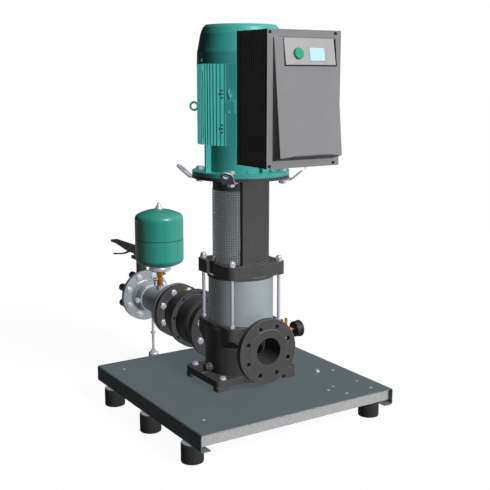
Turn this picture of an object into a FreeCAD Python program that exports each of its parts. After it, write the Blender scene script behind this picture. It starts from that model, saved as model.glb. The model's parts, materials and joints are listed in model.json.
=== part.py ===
"""Single-pump pressure booster set on a folded base plate.

All sizes are in millimetres.  While the pieces are drawn, +Z is up, the pump shaft
stands on x = 0, y = 0, the floor is z = 0, the suction side and the frequency
inverter face -Y and the discharge pipework runs along +Y.  On writing, every piece
is moved so that the origin is under the middle of the whole set, on the floor.
"""
import FreeCAD
import Part

import math
import os

V = FreeCAD.Vector

# Base: one folded sheet on six rubber feet
PLATE_WIDTH = 785.0
PLATE_LENGTH = 795.0
PLATE_X = -11.0
PLATE_Y = -9.0
SHEET = 3.0
FOLD_DROP = 60.0
LIP = 36.0
BEND = 8.0
FOOT_HEIGHT = 67.0
FOOT_R = 37.5
FOOT_REACH_X = 368.0
FOOT_REACH_Y = 297.5
SKIRT_SET_BACK = 19.0
SKIRT_HEIGHT = 45.0
SKIRT_LEG = 26.0
PLATE_HOLE_R = 4.0

# Ports: DN 100 PN 16 flanges, both on one axis
BORE_R = 50.0
PORT_HEIGHT = 140.0
FACE_TO_FACE = 365.0
PUMP_FLANGE_R = 117.5
PIPE_FLANGE_R = 110.0
RAISED_FACE_R = 79.0
RAISED_FACE = 2.0
FLANGE_THICK = 20.0
BOLT_CIRCLE = 180.0
BOLT_COUNT = 8
BOLT_HOLE_R = 9.0
JOINT_HOLE_R = 9.5
BOLT_R = 7.7
GASKET = 2.0

# Pump casing and its foot
FOOT_PLATE_X = 169.0
FOOT_PLATE_Y = 115.0
FOOT_PLATE_HIGH = 40.0
FOOT_ARCH = 15.0
FOOT_PAD = 52.0
FOOT_BOLT_X = 138.0
FOOT_BOLT_Y = 98.0
CASING_R = 131.0
CASING_RISE = 79.0
CASING_WALL = 17.0
SQUARE_HALF = 119.0
SQUARE_CORNER_R = 26.0

# Sleeve, tie rods and hydraulics
SLEEVE_R = 117.5
SLEEVE_WALL = 2.5
SLEEVE_SEAT = 5.0
ROD_R = 6.0
ROD_CIRCLE_R = 139.3
STAGE_COUNT = 3
STAGE_PITCH = 45.0
STAGE_R = 96.0
SHAFT_R = 14.0
HUB_WALL = 4.0
SEAL_ROOM = 2.0
IMPELLER_R = 82.0
EYE_R = 34.0
EYE_RING = 3.0
BLADE_COUNT = 6

# Lantern between pump and motor, as heights above the floor
LANTERN_BASE_LOW = 521.0
LANTERN_BASE_TOP = 567.0
LANTERN_HEAD_LOW = 820.0
LANTERN_FLANGE_LOW = 865.0
MOTOR_FACE = 877.0
LANTERN_COLLAR = 10.0
PILLAR_HALF_WIDTH = 56.0
PILLAR_FACE_Y = 100.0
PILLAR_THICK = 17.0
HEAD_R = 100.0
MOTOR_FLANGE_R = 172.0
MOTOR_BOLT_CIRCLE = 300.0
MOTOR_FLANGE_THICK = 14.0
GUARD_SHEET = 1.5
GUARD_LAP = 4.0
GUARD_COLUMNS = 9
GUARD_ROWS = 1
COUPLING_R = 38.0
COUPLING_LENGTH = 150.0
COUPLING_GAP = 2.0

# Motor
BELL_R = 124.0
BELL_WALL = 8.0
FRAME_LOW = 984.0
FRAME_TOP = 1256.0
FRAME_CORE_R = 134.0
FIN_TIP_R = 152.0
PAD_FACE_R = 149.0
FIN_PITCH = 13.0
FIN_THICK = 4.0
STATOR_R = 122.0
ROTOR_R = 68.0
AIR_GAP = 1.0
COWL_TOP = 1388.0
COWL_LOW_R = 152.0
COWL_HIGH_R = 131.0
COWL_WALL = 2.0
MOTOR_SHAFT_R = 19.0

# Frequency inverter
INVERTER_HALF_WIDTH = 141.5
INVERTER_BACK = 200.5
INVERTER_FRONT = 373.5
INVERTER_LOW = 931.5
INVERTER_TOP = 1357.8
LID_RIM = 8.0
HEAT_FIN_DEPTH = 8.0
HEAT_FIN_PITCH = 13.0
HEAT_FIN_THICK = 4.0
HOUSING_WALL = 6.0
HOOD_WALL = 4.0
HOOD_HALF_WIDTH = 120.0
HOOD_LOW = 955.0
HOOD_TOP = 1332.0
HOOD_DEPTH = 40.0
HOOD_CROWN = 11.0
PANEL_TILT = 10.5
KNOB_R = 18.0
KNOB_LENGTH = 14.0
KNOB_TRAVEL = 2.0
KNOB_X = -33.7
KNOB_Z = 1284.0
SPINDLE_R = 3.0
SPINDLE_BEHIND = 9.0
DISPLAY_X = 42.5
DISPLAY_Z = 1284.0
DISPLAY_W = 58.0
DISPLAY_H = 41.0

# Check valve, outlet pipe and butterfly valve along +Y
CHECK_LENGTH = 300.0
SPIDER_SET_BACK = 89.5
CHECK_SPLIT = 151.5
CHECK_RING_R = 117.0
CHECK_RING_CIRCLE = 213.0
CHECK_RING_THICK = 13.5
CHECK_LIFT = 25.0
DISC_R = 61.5
PIPE_R = 57.15
PIPE_WALL = 3.25
PIPE_LENGTH = 309.5
SOCKET_FROM_FLANGE = 156.2
SUPPORT_FROM_FLANGE = 231.5
WAFER_LENGTH = 52.0
LUG_R = 16.0
LUG_HOLE_R = 8.0
TAPPED_HOLE_R = 7.75
TAPPED_REACH = 27.0
STEM_R = 8.0
LEVER_LENGTH = 290.0
LEVER_WIDTH = 30.0
STOP_R = 50.0
STOP_THICK = 6.0
NOTCH_WIDTH = 5.0
NOTCH_DEEP = 4.6
NOTCH_STEP = 15.0

# Diaphragm vessel over the pipe
VESSEL_R = 101.8
VESSEL_RISE = 151.0
VESSEL_HEIGHT = 251.0
VESSEL_SEAM_HEIGHT = 125.0
VESSEL_WALL = 1.6
CROWN_R = 200.0
KNUCKLE_R = 24.0

# Pressure gauge on the pump's +X side
GAUGE_R = 31.5
GAUGE_DEPTH = 30.0
GAUGE_BACK_X = 236.0
COCK_X = 190.0

# Clearances
SLIDE_FIT = 0.05
LOOSE_FIT = 0.3

# Places worked out from the sizes above
PLATE_TOP = FOOT_HEIGHT + FOLD_DROP
PLATE_UNDER = PLATE_TOP - SHEET
PLATE_X0 = PLATE_X - PLATE_WIDTH / 2
PLATE_X1 = PLATE_X + PLATE_WIDTH / 2
PLATE_Y0 = PLATE_Y - PLATE_LENGTH / 2
PLATE_Y1 = PLATE_Y + PLATE_LENGTH / 2
PORT_Z = PLATE_TOP + PORT_HEIGHT
FOOT_TOP = PLATE_TOP + FOOT_PLATE_HIGH
RIM_Z = PORT_Z + CASING_RISE
PUMP_FACE = FACE_TO_FACE / 2
FLANGE_BACK = PUMP_FACE - RAISED_FACE - FLANGE_THICK
HEAD_PAD_Z = RIM_Z - SLEEVE_SEAT
GUARD_INNER_R = HEAD_R + LOOSE_FIT
GUARD_HALF_ANGLE = math.degrees(math.acos((PILLAR_HALF_WIDTH + LOOSE_FIT) / GUARD_INNER_R))
VENT_X = -SQUARE_HALF + 24
VENT_Y = 16.0
BOLT_START = 180.0 / BOLT_COUNT
ROD_XY = ROD_CIRCLE_R / math.sqrt(2)
CHECK_Y0 = PUMP_FACE + GASKET
CHECK_Y1 = CHECK_Y0 + CHECK_LENGTH
CHECK_MID = CHECK_Y0 + CHECK_SPLIT
RING_FACE = CHECK_MID - CHECK_RING_THICK
SPIDER_Y = CHECK_Y1 - SPIDER_SET_BACK
CHECK_PLUG_Y = SPIDER_Y + 26
CHECK_SEAT = RING_FACE - 22.5
PIPE_Y0 = CHECK_Y1 + GASKET
PIPE_Y1 = PIPE_Y0 + PIPE_LENGTH
SOCKET_Y = PIPE_Y0 + SOCKET_FROM_FLANGE
SUPPORT_Y = PIPE_Y0 + SUPPORT_FROM_FLANGE
WAFER_Y1 = PIPE_Y1 + WAFER_LENGTH
STEM_Y = PIPE_Y1 + WAFER_LENGTH / 2
LEVER_TIP_Y = STEM_Y + LEVER_LENGTH
VESSEL_LOW = PORT_Z + VESSEL_RISE
VESSEL_TOP = VESSEL_LOW + VESSEL_HEIGHT
VESSEL_SEAM = VESSEL_LOW + VESSEL_SEAM_HEIGHT
STOP_LOW = PORT_Z + 170.0
LEVER_Z = STOP_LOW + STOP_THICK + 6
TRIGGER_Y = STEM_Y + 75.0
MOTOR_FLANGE_TOP = MOTOR_FACE + MOTOR_FLANGE_THICK
FAN_HUB_LOW = FRAME_TOP + 22.0

# The set spans its feet across and the inverter hood to the lever's tip along
MID_X = PLATE_X
HOOD_FRONT = INVERTER_FRONT + HOOD_DEPTH + HOOD_CROWN
MID_Y = (LEVER_TIP_Y - HOOD_FRONT) / 2


def cyl_z(radius, low, high, x=0.0, y=0.0):
    """Upright cylinder."""
    return Part.makeCylinder(radius, high - low, V(x, y, low))


def cyl_y(radius, start, end, x=0.0, z=0.0):
    """Cylinder along Y."""
    return Part.makeCylinder(radius, end - start, V(x, start, z), V(0, 1, 0))


def cyl_x(radius, start, end, y=0.0, z=0.0):
    """Cylinder along X."""
    return Part.makeCylinder(radius, end - start, V(start, y, z), V(1, 0, 0))


def block(x0, x1, y0, y1, z0, z1):
    """Box between two corners."""
    return Part.makeBox(x1 - x0, y1 - y0, z1 - z0, V(x0, y0, z0))


def joined(shapes):
    """Union of a list of shapes, without leftover seams."""
    first = shapes[0]
    return first.multiFuse(shapes[1:]).removeSplitter()


def cut_all(body, tools):
    """Body less every tool in a list."""
    return body.cut(Part.makeCompound(tools))


def edges_along(shape, direction):
    """Straight edges that run along one axis."""
    found = []
    for edge in shape.Edges:
        if len(edge.Vertexes) != 2:
            continue
        run = edge.Vertexes[1].Point - edge.Vertexes[0].Point
        if abs(run.normalize().dot(direction)) > 0.999:
            found.append(edge)
    return found


def rounded_block(x0, x1, y0, y1, z0, z1, radius, direction=V(0, 0, 1)):
    """Box whose four edges along one axis are rounded."""
    box = block(x0, x1, y0, y1, z0, z1)
    return box.makeFillet(radius, edges_along(box, direction))


def spun_z(profile, x=0.0, y=0.0):
    """Solid turned about an upright axis from (radius, height) points."""
    points = [V(radius, 0, height) for radius, height in profile]
    face = Part.Face(Part.makePolygon(points + points[:1]))
    solid = face.revolve(V(0, 0, 0), V(0, 0, 1), 360)
    solid.translate(V(x, y, 0))
    return solid


def spun_y(profile, x=0.0, z=0.0):
    """Solid turned about an axis along Y from (radius, y) points."""
    solid = spun_z(profile)
    solid.rotate(V(0, 0, 0), V(1, 0, 0), -90)
    solid.translate(V(x, 0, z))
    return solid


def spun_x(profile, y=0.0, z=0.0):
    """Solid turned about an axis along X from (radius, x) points."""
    solid = spun_z(profile)
    solid.rotate(V(0, 0, 0), V(0, 1, 0), 90)
    solid.translate(V(0, y, z))
    return solid


def extruded(points, run):
    """Prism from a closed outline of 3-D points."""
    return Part.Face(Part.makePolygon(points + points[:1])).extrude(run)


def side_profile(outline, x0, x1):
    """Prism along X from (y, z) points."""
    return extruded([V(x0, y, z) for y, z in outline], V(x1 - x0, 0, 0))


def hexagon(across_flats, base, direction, height):
    """Hexagonal prism standing on a point."""
    radius = across_flats / math.sqrt(3)
    points = []
    for corner in range(6):
        angle = math.radians(60 * corner)
        points.append(V(radius * math.cos(angle), radius * math.sin(angle), 0))
    prism = extruded(points, V(0, 0, height))
    prism.Placement = FreeCAD.Placement(base, FreeCAD.Rotation(V(0, 0, 1), direction))
    return prism


def bolt(base, direction, grip, radius, across, nut=True):
    """Hexagon bolt: head behind the base point, shank through the grip, nut past it."""
    head = radius * 1.3
    nut_high = radius * 1.6
    shank = Part.makeCylinder(radius, grip + (nut_high + 2 if nut else 0), base, direction)
    pieces = [hexagon(across, base - direction * head, direction, head), shank]
    if nut:
        pieces.append(hexagon(across, base + direction * grip, direction, nut_high))
    return joined(pieces)


def turned(shape, angle, axis=V(0, 0, 1), centre=V(0, 0, 0)):
    """Copy turned about an axis."""
    twin = shape.copy()
    twin.rotate(centre, axis, angle)
    return twin


def ring_of(shape, count, start=0.0, axis=V(0, 0, 1), centre=V(0, 0, 0)):
    """Copies spread evenly round an axis."""
    return [turned(shape, start + 360.0 * step / count, axis, centre) for step in range(count)]


def on_port_circle(shape):
    """Copies of a piece at the flange bolt holes; the piece is drawn at the port axis's +X side."""
    return ring_of(shape, BOLT_COUNT, BOLT_START, V(0, 1, 0), V(0, 0, PORT_Z))


def rounded_square(low, high):
    """Square flange with rounded corners, shared by casing and lantern."""
    half = SQUARE_HALF
    return rounded_block(-half, half, -half, half, low, high, SQUARE_CORNER_R)


def at_rods(shape):
    """Copies of a piece drawn on the axis, at the four tie rods."""
    copies = []
    for x in (-ROD_XY, ROD_XY):
        for y in (-ROD_XY, ROD_XY):
            twin = shape.copy()
            twin.translate(V(x, y, 0))
            copies.append(twin)
    return copies


def port_holes(start, end, radius=BOLT_HOLE_R):
    """Eight drilled holes along Y on the port's bolt circle."""
    return on_port_circle(cyl_y(radius, start, end, BOLT_CIRCLE / 2, PORT_Z))


# Base

def plate_hole_places():
    """Threaded holes of the top plate, away from the pump."""
    return [(-335, 295), (-332, -300), (325, -137), (323, -278),
            (319, -360), (214, -278), (211, -358), (177, -299)]


def foot_places():
    """Centres of the six rubber feet."""
    rows = (PLATE_Y - FOOT_REACH_Y, PLATE_Y, PLATE_Y + FOOT_REACH_Y)
    return [(PLATE_X + side * FOOT_REACH_X, y) for side in (-1, 1) for y in rows]


def pump_bolt_places():
    """Centres of the four bolts that hold the pump foot."""
    return [(sx * FOOT_BOLT_X, sy * FOOT_BOLT_Y) for sx in (-1, 1) for sy in (-1, 1)]


def base_plate():
    """Sheet folded down along both sides, with a lip turned in under each fold."""
    outer = rounded_block(PLATE_X0, PLATE_X1, PLATE_Y0, PLATE_Y1, FOOT_HEIGHT, PLATE_TOP, BEND, V(0, 1, 0))
    inner = rounded_block(PLATE_X0 + SHEET, PLATE_X1 - SHEET, PLATE_Y0 - 1, PLATE_Y1 + 1,
                          FOOT_HEIGHT + SHEET, PLATE_UNDER, BEND - SHEET, V(0, 1, 0))
    mouth = block(PLATE_X0 + LIP, PLATE_X1 - LIP, PLATE_Y0 - 1, PLATE_Y1 + 1,
                  FOOT_HEIGHT - 1, FOOT_HEIGHT + SHEET + 1)
    holes = [cyl_z(PLATE_HOLE_R, PLATE_UNDER - 1, PLATE_TOP + 1, x, y) for x, y in plate_hole_places()]
    holes += [cyl_z(7, PLATE_UNDER - 1, PLATE_TOP + 1, x, y) for x, y in pump_bolt_places()]
    holes += [cyl_z(5.5, FOOT_HEIGHT - 1, FOOT_HEIGHT + SHEET + 1, x, y) for x, y in foot_places()]
    return cut_all(outer.cut(inner).cut(mouth), holes)


def end_skirts():
    """Angle strips that close the plate's front and rear, between the side folds."""
    x0 = PLATE_X0 + SHEET + LOOSE_FIT
    x1 = PLATE_X1 - SHEET - LOOSE_FIT
    drop = PLATE_UNDER - SKIRT_HEIGHT
    bend_room = BEND
    strips = []
    for edge, inward in ((PLATE_Y0, 1), (PLATE_Y1, -1)):
        face = edge + inward * SKIRT_SET_BACK
        back = face + inward * SHEET
        leg = face + inward * SKIRT_LEG
        wall = block(x0, x1, min(face, back), max(face, back), drop, PLATE_UNDER - bend_room)
        top = block(x0 + bend_room, x1 - bend_room, min(face, back), max(face, back), drop, PLATE_UNDER)
        flap = block(x0 + bend_room, x1 - bend_room, min(face, leg), max(face, leg),
                     PLATE_UNDER - SHEET, PLATE_UNDER)
        strips.append(joined([wall, top, flap]))
    return Part.makeCompound(strips)


def rubber_feet():
    """Six turned rubber feet, each with a blind hole for its bonded stud."""
    r = FOOT_R
    top = FOOT_HEIGHT
    profile = [(0, 0), (r - 3, 0), (r, 3), (r, top - 3), (r - 1.5, top), (5.2, top), (5.2, top - 25), (0, top - 25)]
    return Part.makeCompound([spun_z(profile, x, y) for x, y in foot_places()])


def base_bolts():
    """Pump foot bolts with washers and nuts, and the feet's studs with nuts."""
    down = V(0, 0, -1)
    pieces = []
    for x, y in pump_bolt_places():
        washer = cyl_z(13, FOOT_TOP, FOOT_TOP + 2.5, x, y)
        grip = FOOT_TOP + 2.5 - PLATE_UNDER
        pieces.append(bolt(V(x, y, FOOT_TOP + 2.5), down, grip, 6, 18).fuse(washer).removeSplitter())
    for x, y in foot_places():
        stud = cyl_z(5, FOOT_HEIGHT - 24.7, FOOT_HEIGHT + SHEET + 11, x, y)
        nut = hexagon(16, V(x, y, FOOT_HEIGHT + SHEET), V(0, 0, 1), 8)
        pieces.append(joined([stud, nut]))
    stud = joined([cyl_z(10, PLATE_TOP, PLATE_TOP + 5, 261, -121), cyl_z(6, PLATE_TOP + 5, PLATE_TOP + 9, 261, -121)])
    return Part.makeCompound(pieces + [stud])


# Pump

def pump_port(side):
    """Flange with raised face and its neck, turned about the port axis."""
    face = PUMP_FACE
    flange = face - RAISED_FACE
    back = FLANGE_BACK
    profile = [(0, face), (RAISED_FACE_R, face), (RAISED_FACE_R, flange), (PUMP_FLANGE_R - 1.5, flange),
               (PUMP_FLANGE_R, flange - 1.5), (PUMP_FLANGE_R, back), (75, back), (70, back - 6),
               (68, back - 18), (68, 90), (0, 90)]
    port = spun_y([(r, side * y) for r, y in profile], 0, PORT_Z)
    return port


def pump_casing():
    """Cast lower casing: foot, round barrel, two in-line ports and a suction chamber inside."""
    r = CASING_R
    low = PLATE_TOP + FOOT_ARCH
    barrel = spun_z([(0, low), (r, low), (r, RIM_Z - 16), (r - 7, RIM_Z), (0, RIM_Z)])
    corner_low = RIM_Z - 80
    corner_full = RIM_Z - 34
    corner_r = SQUARE_HALF * math.sqrt(2)
    cone = spun_z([(0, corner_low), (r - 5, corner_low), (corner_r, corner_full), (corner_r, RIM_Z), (0, RIM_Z)])
    corners = cone.common(rounded_square(corner_low, RIM_Z))
    foot = rounded_block(-FOOT_PLATE_X, FOOT_PLATE_X, -FOOT_PLATE_Y, FOOT_PLATE_Y, low, FOOT_TOP, 14)
    pads = []
    for sx in (-1, 1):
        for sy in (-1, 1):
            x0, x1 = sorted((sx * FOOT_PLATE_X, sx * (FOOT_PLATE_X - FOOT_PAD)))
            y0, y1 = sorted((sy * FOOT_PLATE_Y, sy * (FOOT_PLATE_Y - FOOT_PAD * 0.7)))
            pads.append(rounded_block(x0, x1, y0, y1, PLATE_TOP, low + 1, 10))
    seat_pad = block(-FOOT_PLATE_X + 2, -CASING_R + 20, -2, 30, FOOT_TOP, FOOT_TOP + 1.5)
    drain_boss = cyl_x(17, -144, -110, 0, PLATE_TOP + 58)
    gauge_boss = cyl_x(15, 110, 140, 0, PORT_Z)
    body = joined([barrel, corners, foot, seat_pad, drain_boss, gauge_boss, pump_port(-1), pump_port(1)] + pads)
    floor = PLATE_TOP + 68
    inner = r - CASING_WALL
    cavity = cyl_z(inner, floor, RIM_Z + 1)
    chamber_r = 84.0
    chamber_wall = 8.0
    chamber_top = RIM_Z - 16
    chamber = cyl_z(chamber_r + chamber_wall, floor - 1, chamber_top)
    duct = cyl_y(BORE_R + chamber_wall, -inner - 4, -chamber_r, 0, PORT_Z)
    body = body.cut(cavity).fuse([chamber, duct.common(cyl_z(inner + 4, floor, RIM_Z))])
    seat_ring = cyl_z(SLEEVE_R + LOOSE_FIT, HEAD_PAD_Z, RIM_Z + 1)
    tools = [
        cyl_z(chamber_r, floor, chamber_top - chamber_wall),
        cyl_z(32, chamber_top - chamber_wall - 1, chamber_top + 1),
        cyl_y(BORE_R, -PUMP_FACE - 1, -chamber_r + 14, 0, PORT_Z),
        cyl_y(BORE_R, chamber_r + 14, PUMP_FACE + 1, 0, PORT_Z),
        seat_ring,
        cyl_x(10.2, -145, -118, 0, PLATE_TOP + 58),
        cyl_x(9.2, 118, 141, 0, PORT_Z),
    ]
    tools += port_holes(-PUMP_FACE - 1, -FLANGE_BACK + 1)
    tools += port_holes(FLANGE_BACK - 1, PUMP_FACE + 1, JOINT_HOLE_R)
    tools += [cyl_z(7, PLATE_TOP - 1, FOOT_TOP + 1, x, y) for x, y in pump_bolt_places()]
    tools += at_rods(cyl_z(ROD_R + LOOSE_FIT, RIM_Z - 25, RIM_Z + 1))
    return cut_all(body, tools)


def casing_plugs():
    """Drain plug low on the casing and vent screw in the lantern's notch."""
    z = PLATE_TOP + 58
    drain = joined([cyl_x(10, -144, -120, 0, z), cyl_x(13.5, -154, -144, 0, z)])
    vent = joined([cyl_z(5, LANTERN_BASE_LOW + 2, LANTERN_BASE_TOP, VENT_X, VENT_Y),
                   hexagon(12, V(VENT_X, VENT_Y, LANTERN_BASE_TOP), V(0, 0, 1), 9)])
    return Part.makeCompound([drain, vent])


def outer_sleeve():
    """Thin stainless jacket between casing and lantern."""
    top = LANTERN_BASE_LOW - LOOSE_FIT
    return cyl_z(SLEEVE_R, HEAD_PAD_Z, top).cut(cyl_z(SLEEVE_R - SLEEVE_WALL, HEAD_PAD_Z - 1, top + 1))


def curved_blade(inner, outer, thick, low, high, sweep):
    """Backward-curved blade as a band between two arcs, standing between two heights."""
    edge = []
    for start in (0.0, math.degrees(thick / outer)):
        a0 = math.radians(start * outer / inner)
        a1 = math.radians(start + sweep / 2)
        a2 = math.radians(start + sweep)
        middle = (inner + outer) / 2
        edge.append((V(inner * math.cos(a0), inner * math.sin(a0), low),
                     V(middle * math.cos(a1), middle * math.sin(a1), low),
                     V(outer * math.cos(a2), outer * math.sin(a2), low)))
    near, far = edge
    outline = [Part.Arc(*near).toShape(), Part.makeLine(near[2], far[2]),
               Part.Arc(far[2], far[1], far[0]).toShape(), Part.makeLine(far[0], near[0])]
    return Part.Face(Part.Wire(outline)).extrude(V(0, 0, high - low))


def stage_floor(stage):
    """Underside of one stage."""
    return RIM_Z - 16 + stage * STAGE_PITCH


def stage_bowls():
    """Stacked stage chambers, each with a floor, a wall and guide vanes over its impeller."""
    bowls = []
    r = STAGE_R
    eye = EYE_R + EYE_RING + LOOSE_FIT
    hub = SHAFT_R + HUB_WALL
    for stage in range(STAGE_COUNT):
        low = stage_floor(stage)
        high = low + STAGE_PITCH
        wall = spun_z([(eye, low), (r, low), (r, high), (r - 3, high), (r - 3, low + 3), (eye, low + 3)])
        deck = high - 14
        web = spun_z([(hub + 1, deck), (r - 9, deck), (r - 9, deck + 3), (hub + 1, deck + 3)])
        vane = curved_blade(40, r - 2, 3, deck + 2, high, -35)
        bowls.append(joined([wall, web] + ring_of(vane, BLADE_COUNT)).common(cyl_z(r, low, high)))
    return Part.makeCompound(bowls)


def impellers():
    """Closed impellers on the pump shaft, each with two shrouds, a hub and curved blades."""
    wheels = []
    bore = SHAFT_R + LOOSE_FIT / 3
    hub_r = SHAFT_R + HUB_WALL
    for stage in range(STAGE_COUNT):
        low = stage_floor(stage) + 5
        high = low + 22
        back = spun_z([(bore, high - 3), (IMPELLER_R, high - 3), (IMPELLER_R, high), (hub_r, high),
                       (hub_r, high + 6), (bore, high + 6)])
        hub = spun_z([(bore, low), (hub_r, low), (hub_r + 2, high - 3), (bore, high - 3)])
        eye = EYE_R + EYE_RING
        front = spun_z([(EYE_R, low - 4.5), (eye, low - 4.5), (eye, low), (IMPELLER_R, low + 8),
                        (IMPELLER_R, low + 11), (EYE_R, low + 3)])
        blade = curved_blade(36, IMPELLER_R, 3, low + 2, high - 2, -50)
        cone = spun_z([(30, low + 1), (IMPELLER_R, low + 9), (IMPELLER_R, high - 1), (30, high - 1)])
        blades = [piece.common(cone) for piece in ring_of(blade, BLADE_COUNT)]
        wheels.append(joined([back, hub, front] + blades))
    return Part.makeCompound(wheels)


def coupling_span():
    """Lower and upper end of the coupling."""
    middle = (LANTERN_BASE_TOP + LANTERN_HEAD_LOW) / 2 + 30
    return middle - COUPLING_LENGTH / 2, middle + COUPLING_LENGTH / 2


def pump_shaft():
    """Shaft from below the first impeller up into the coupling."""
    low, high = coupling_span()
    top = (low + high) / 2 - COUPLING_GAP
    bottom = stage_floor(0) - 20
    return spun_z([(0, bottom), (SHAFT_R - 1, bottom), (SHAFT_R, bottom + 1), (SHAFT_R, top - 1),
                   (SHAFT_R - 1, top), (0, top)])


def shaft_seal():
    """Rotating head of the cartridge seal, on the shaft above its seat in the lantern."""
    low = LANTERN_BASE_TOP + 8.2
    r = SHAFT_R + LOOSE_FIT / 3
    return spun_z([(r, low), (22, low), (22, low + 8), (27, low + 12), (27, low + 30), (r, low + 30)])


def tie_rods():
    """Four rods that clamp the sleeve between casing and lantern."""
    return Part.makeCompound(at_rods(cyl_z(ROD_R, RIM_Z - 24.7, LANTERN_BASE_TOP + 12)))


def tie_rod_nuts():
    """Domed nuts with washers on the rods' upper ends and plain nuts on the casing."""
    top = LANTERN_BASE_TOP
    bore = ROD_R + LOOSE_FIT
    washer = spun_z([(bore, top), (12, top), (12, top + 2.5), (bore, top + 2.5)])
    cap = spun_z([(0, top + 2.5), (12.5, top + 2.5), (12.5, top + 12), (9, top + 16), (0, top + 17)])
    cap = cap.common(hexagon(19, V(0, 0, top), V(0, 0, 1), 30)).cut(cyl_z(bore, top, top + 12.5))
    nut = hexagon(15, V(0, 0, RIM_Z), V(0, 0, 1), 7).cut(cyl_z(bore, RIM_Z - 1, RIM_Z + 8))
    return Part.makeCompound(at_rods(cap.fuse(washer).removeSplitter()) + at_rods(nut))


def lantern():
    """Cast lantern: square base over the sleeve, two pillars, a round head and the motor flange."""
    base_low = LANTERN_BASE_LOW
    base_top = LANTERN_BASE_TOP
    collar_low = base_low - LANTERN_COLLAR
    head_low = LANTERN_HEAD_LOW
    flange_low = LANTERN_FLANGE_LOW
    collar = spun_z([(SLEEVE_R + LOOSE_FIT, collar_low), (SLEEVE_R + 4.5, collar_low), (SLEEVE_R + 4.5, base_low + 1),
                     (SLEEVE_R + LOOSE_FIT, base_low + 1)])
    base = rounded_square(base_low, base_top)
    pillars = []
    for side in (-1, 1):
        y0, y1 = sorted((side * PILLAR_FACE_Y, side * (PILLAR_FACE_Y - PILLAR_THICK)))
        half = PILLAR_HALF_WIDTH
        pillars.append(rounded_block(-half, half, y0, y1, base_top - 1, flange_low + 1, 3))
    head = spun_z([(70, head_low), (HEAD_R - 2, head_low), (HEAD_R, head_low + 2), (HEAD_R, flange_low),
                   (MOTOR_FLANGE_R, flange_low), (MOTOR_FLANGE_R, MOTOR_FACE), (70, MOTOR_FACE)])
    seal_bore = SHAFT_R + SEAL_ROOM
    seal_seat = spun_z([(30, base_top - 1), (44, base_top - 1), (40, base_top + 8), (seal_bore, base_top + 8),
                        (seal_bore, base_top + 4), (30, base_top + 4)])
    body = joined([collar, base, head, seal_seat] + pillars)
    notch = rounded_block(-SQUARE_HALF - 20, -SQUARE_HALF + 12, -7, 40, base_low - 1, base_top + 1, 3)
    tools = [
        cyl_z(STAGE_R + 6, base_low - 1, base_top - 16),
        cyl_z(30, base_top - 17, base_top + 3),
        cyl_z(125.3, MOTOR_FACE - 4, MOTOR_FACE + 1),
        cyl_z(5.2, base_low + 1, base_top + 1, VENT_X, VENT_Y),
        notch,
    ]
    tools += at_rods(cyl_z(ROD_R + LOOSE_FIT, base_low - 1, base_top + 1))
    tools += ring_of(cyl_z(9, flange_low - 1, MOTOR_FACE + 1, MOTOR_BOLT_CIRCLE / 2), 4, 45)
    return cut_all(body, tools)


def coupling():
    """Split clamp coupling: two half shells and their four screws."""
    low, high = coupling_span()
    middle = (low + high) / 2
    r = COUPLING_R
    tube = spun_z([(0, low), (r - 3, low), (r, low + 3), (r, high - 3), (r - 3, high), (0, high)])
    bores = [cyl_z(SHAFT_R + SLIDE_FIT, low - 1, middle), cyl_z(MOTOR_SHAFT_R + SLIDE_FIT, middle, high + 1)]
    screw_z = (low + 28, high - 28)
    holes = [cyl_y(4.3, -50, 50, x, z) for x in (-27, 27) for z in screw_z]
    tube = cut_all(tube, bores + holes)
    halves = []
    for side in (-1, 1):
        y0, y1 = sorted((side * COUPLING_GAP / 2, side * 60))
        halves.append(tube.common(block(-60, 60, y0, y1, low - 1, high + 1)))
    screws = [cyl_y(4, -26, 26, x, z) for x in (-27, 27) for z in screw_z]
    return Part.makeCompound(halves + screws)


def guard(side):
    """Curved guard sheet with tall slots, closing one window of the lantern."""
    low = LANTERN_BASE_TOP
    high = LANTERN_HEAD_LOW + GUARD_LAP
    inner = GUARD_INNER_R
    outer = inner + GUARD_SHEET
    ring = cyl_z(outer, low, high).cut(cyl_z(inner, low - 1, high + 1))
    reach = 2 * outer
    a = math.radians(GUARD_HALF_ANGLE)
    window = extruded([V(0, 0, low - 1), V(reach * math.cos(a), -reach * math.sin(a), low - 1),
                       V(2 * reach, 0, low - 1), V(reach * math.cos(a), reach * math.sin(a), low - 1)],
                      V(0, 0, high - low + 2))
    sheet = ring.common(window)
    edge = 10.0
    bar = 5.0
    pitch = (high - low - 2 * edge + bar) / GUARD_ROWS
    turn = 2 * (GUARD_HALF_ANGLE - 4) / GUARD_COLUMNS
    slots = []
    for row in range(GUARD_ROWS):
        z = low + edge + pitch * row
        for column in range(GUARD_COLUMNS):
            slot = block(inner - 5, outer + 5, -4, 4, z, z + pitch - bar)
            slots.append(turned(slot, turn * (column - (GUARD_COLUMNS - 1) / 2)))
    sheet = cut_all(sheet, slots)
    if side > 0:
        return sheet
    vent_room = cyl_z(9, low - 1, low + 16, VENT_X, VENT_Y)
    return turned(sheet, 180).cut(vent_room)


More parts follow.
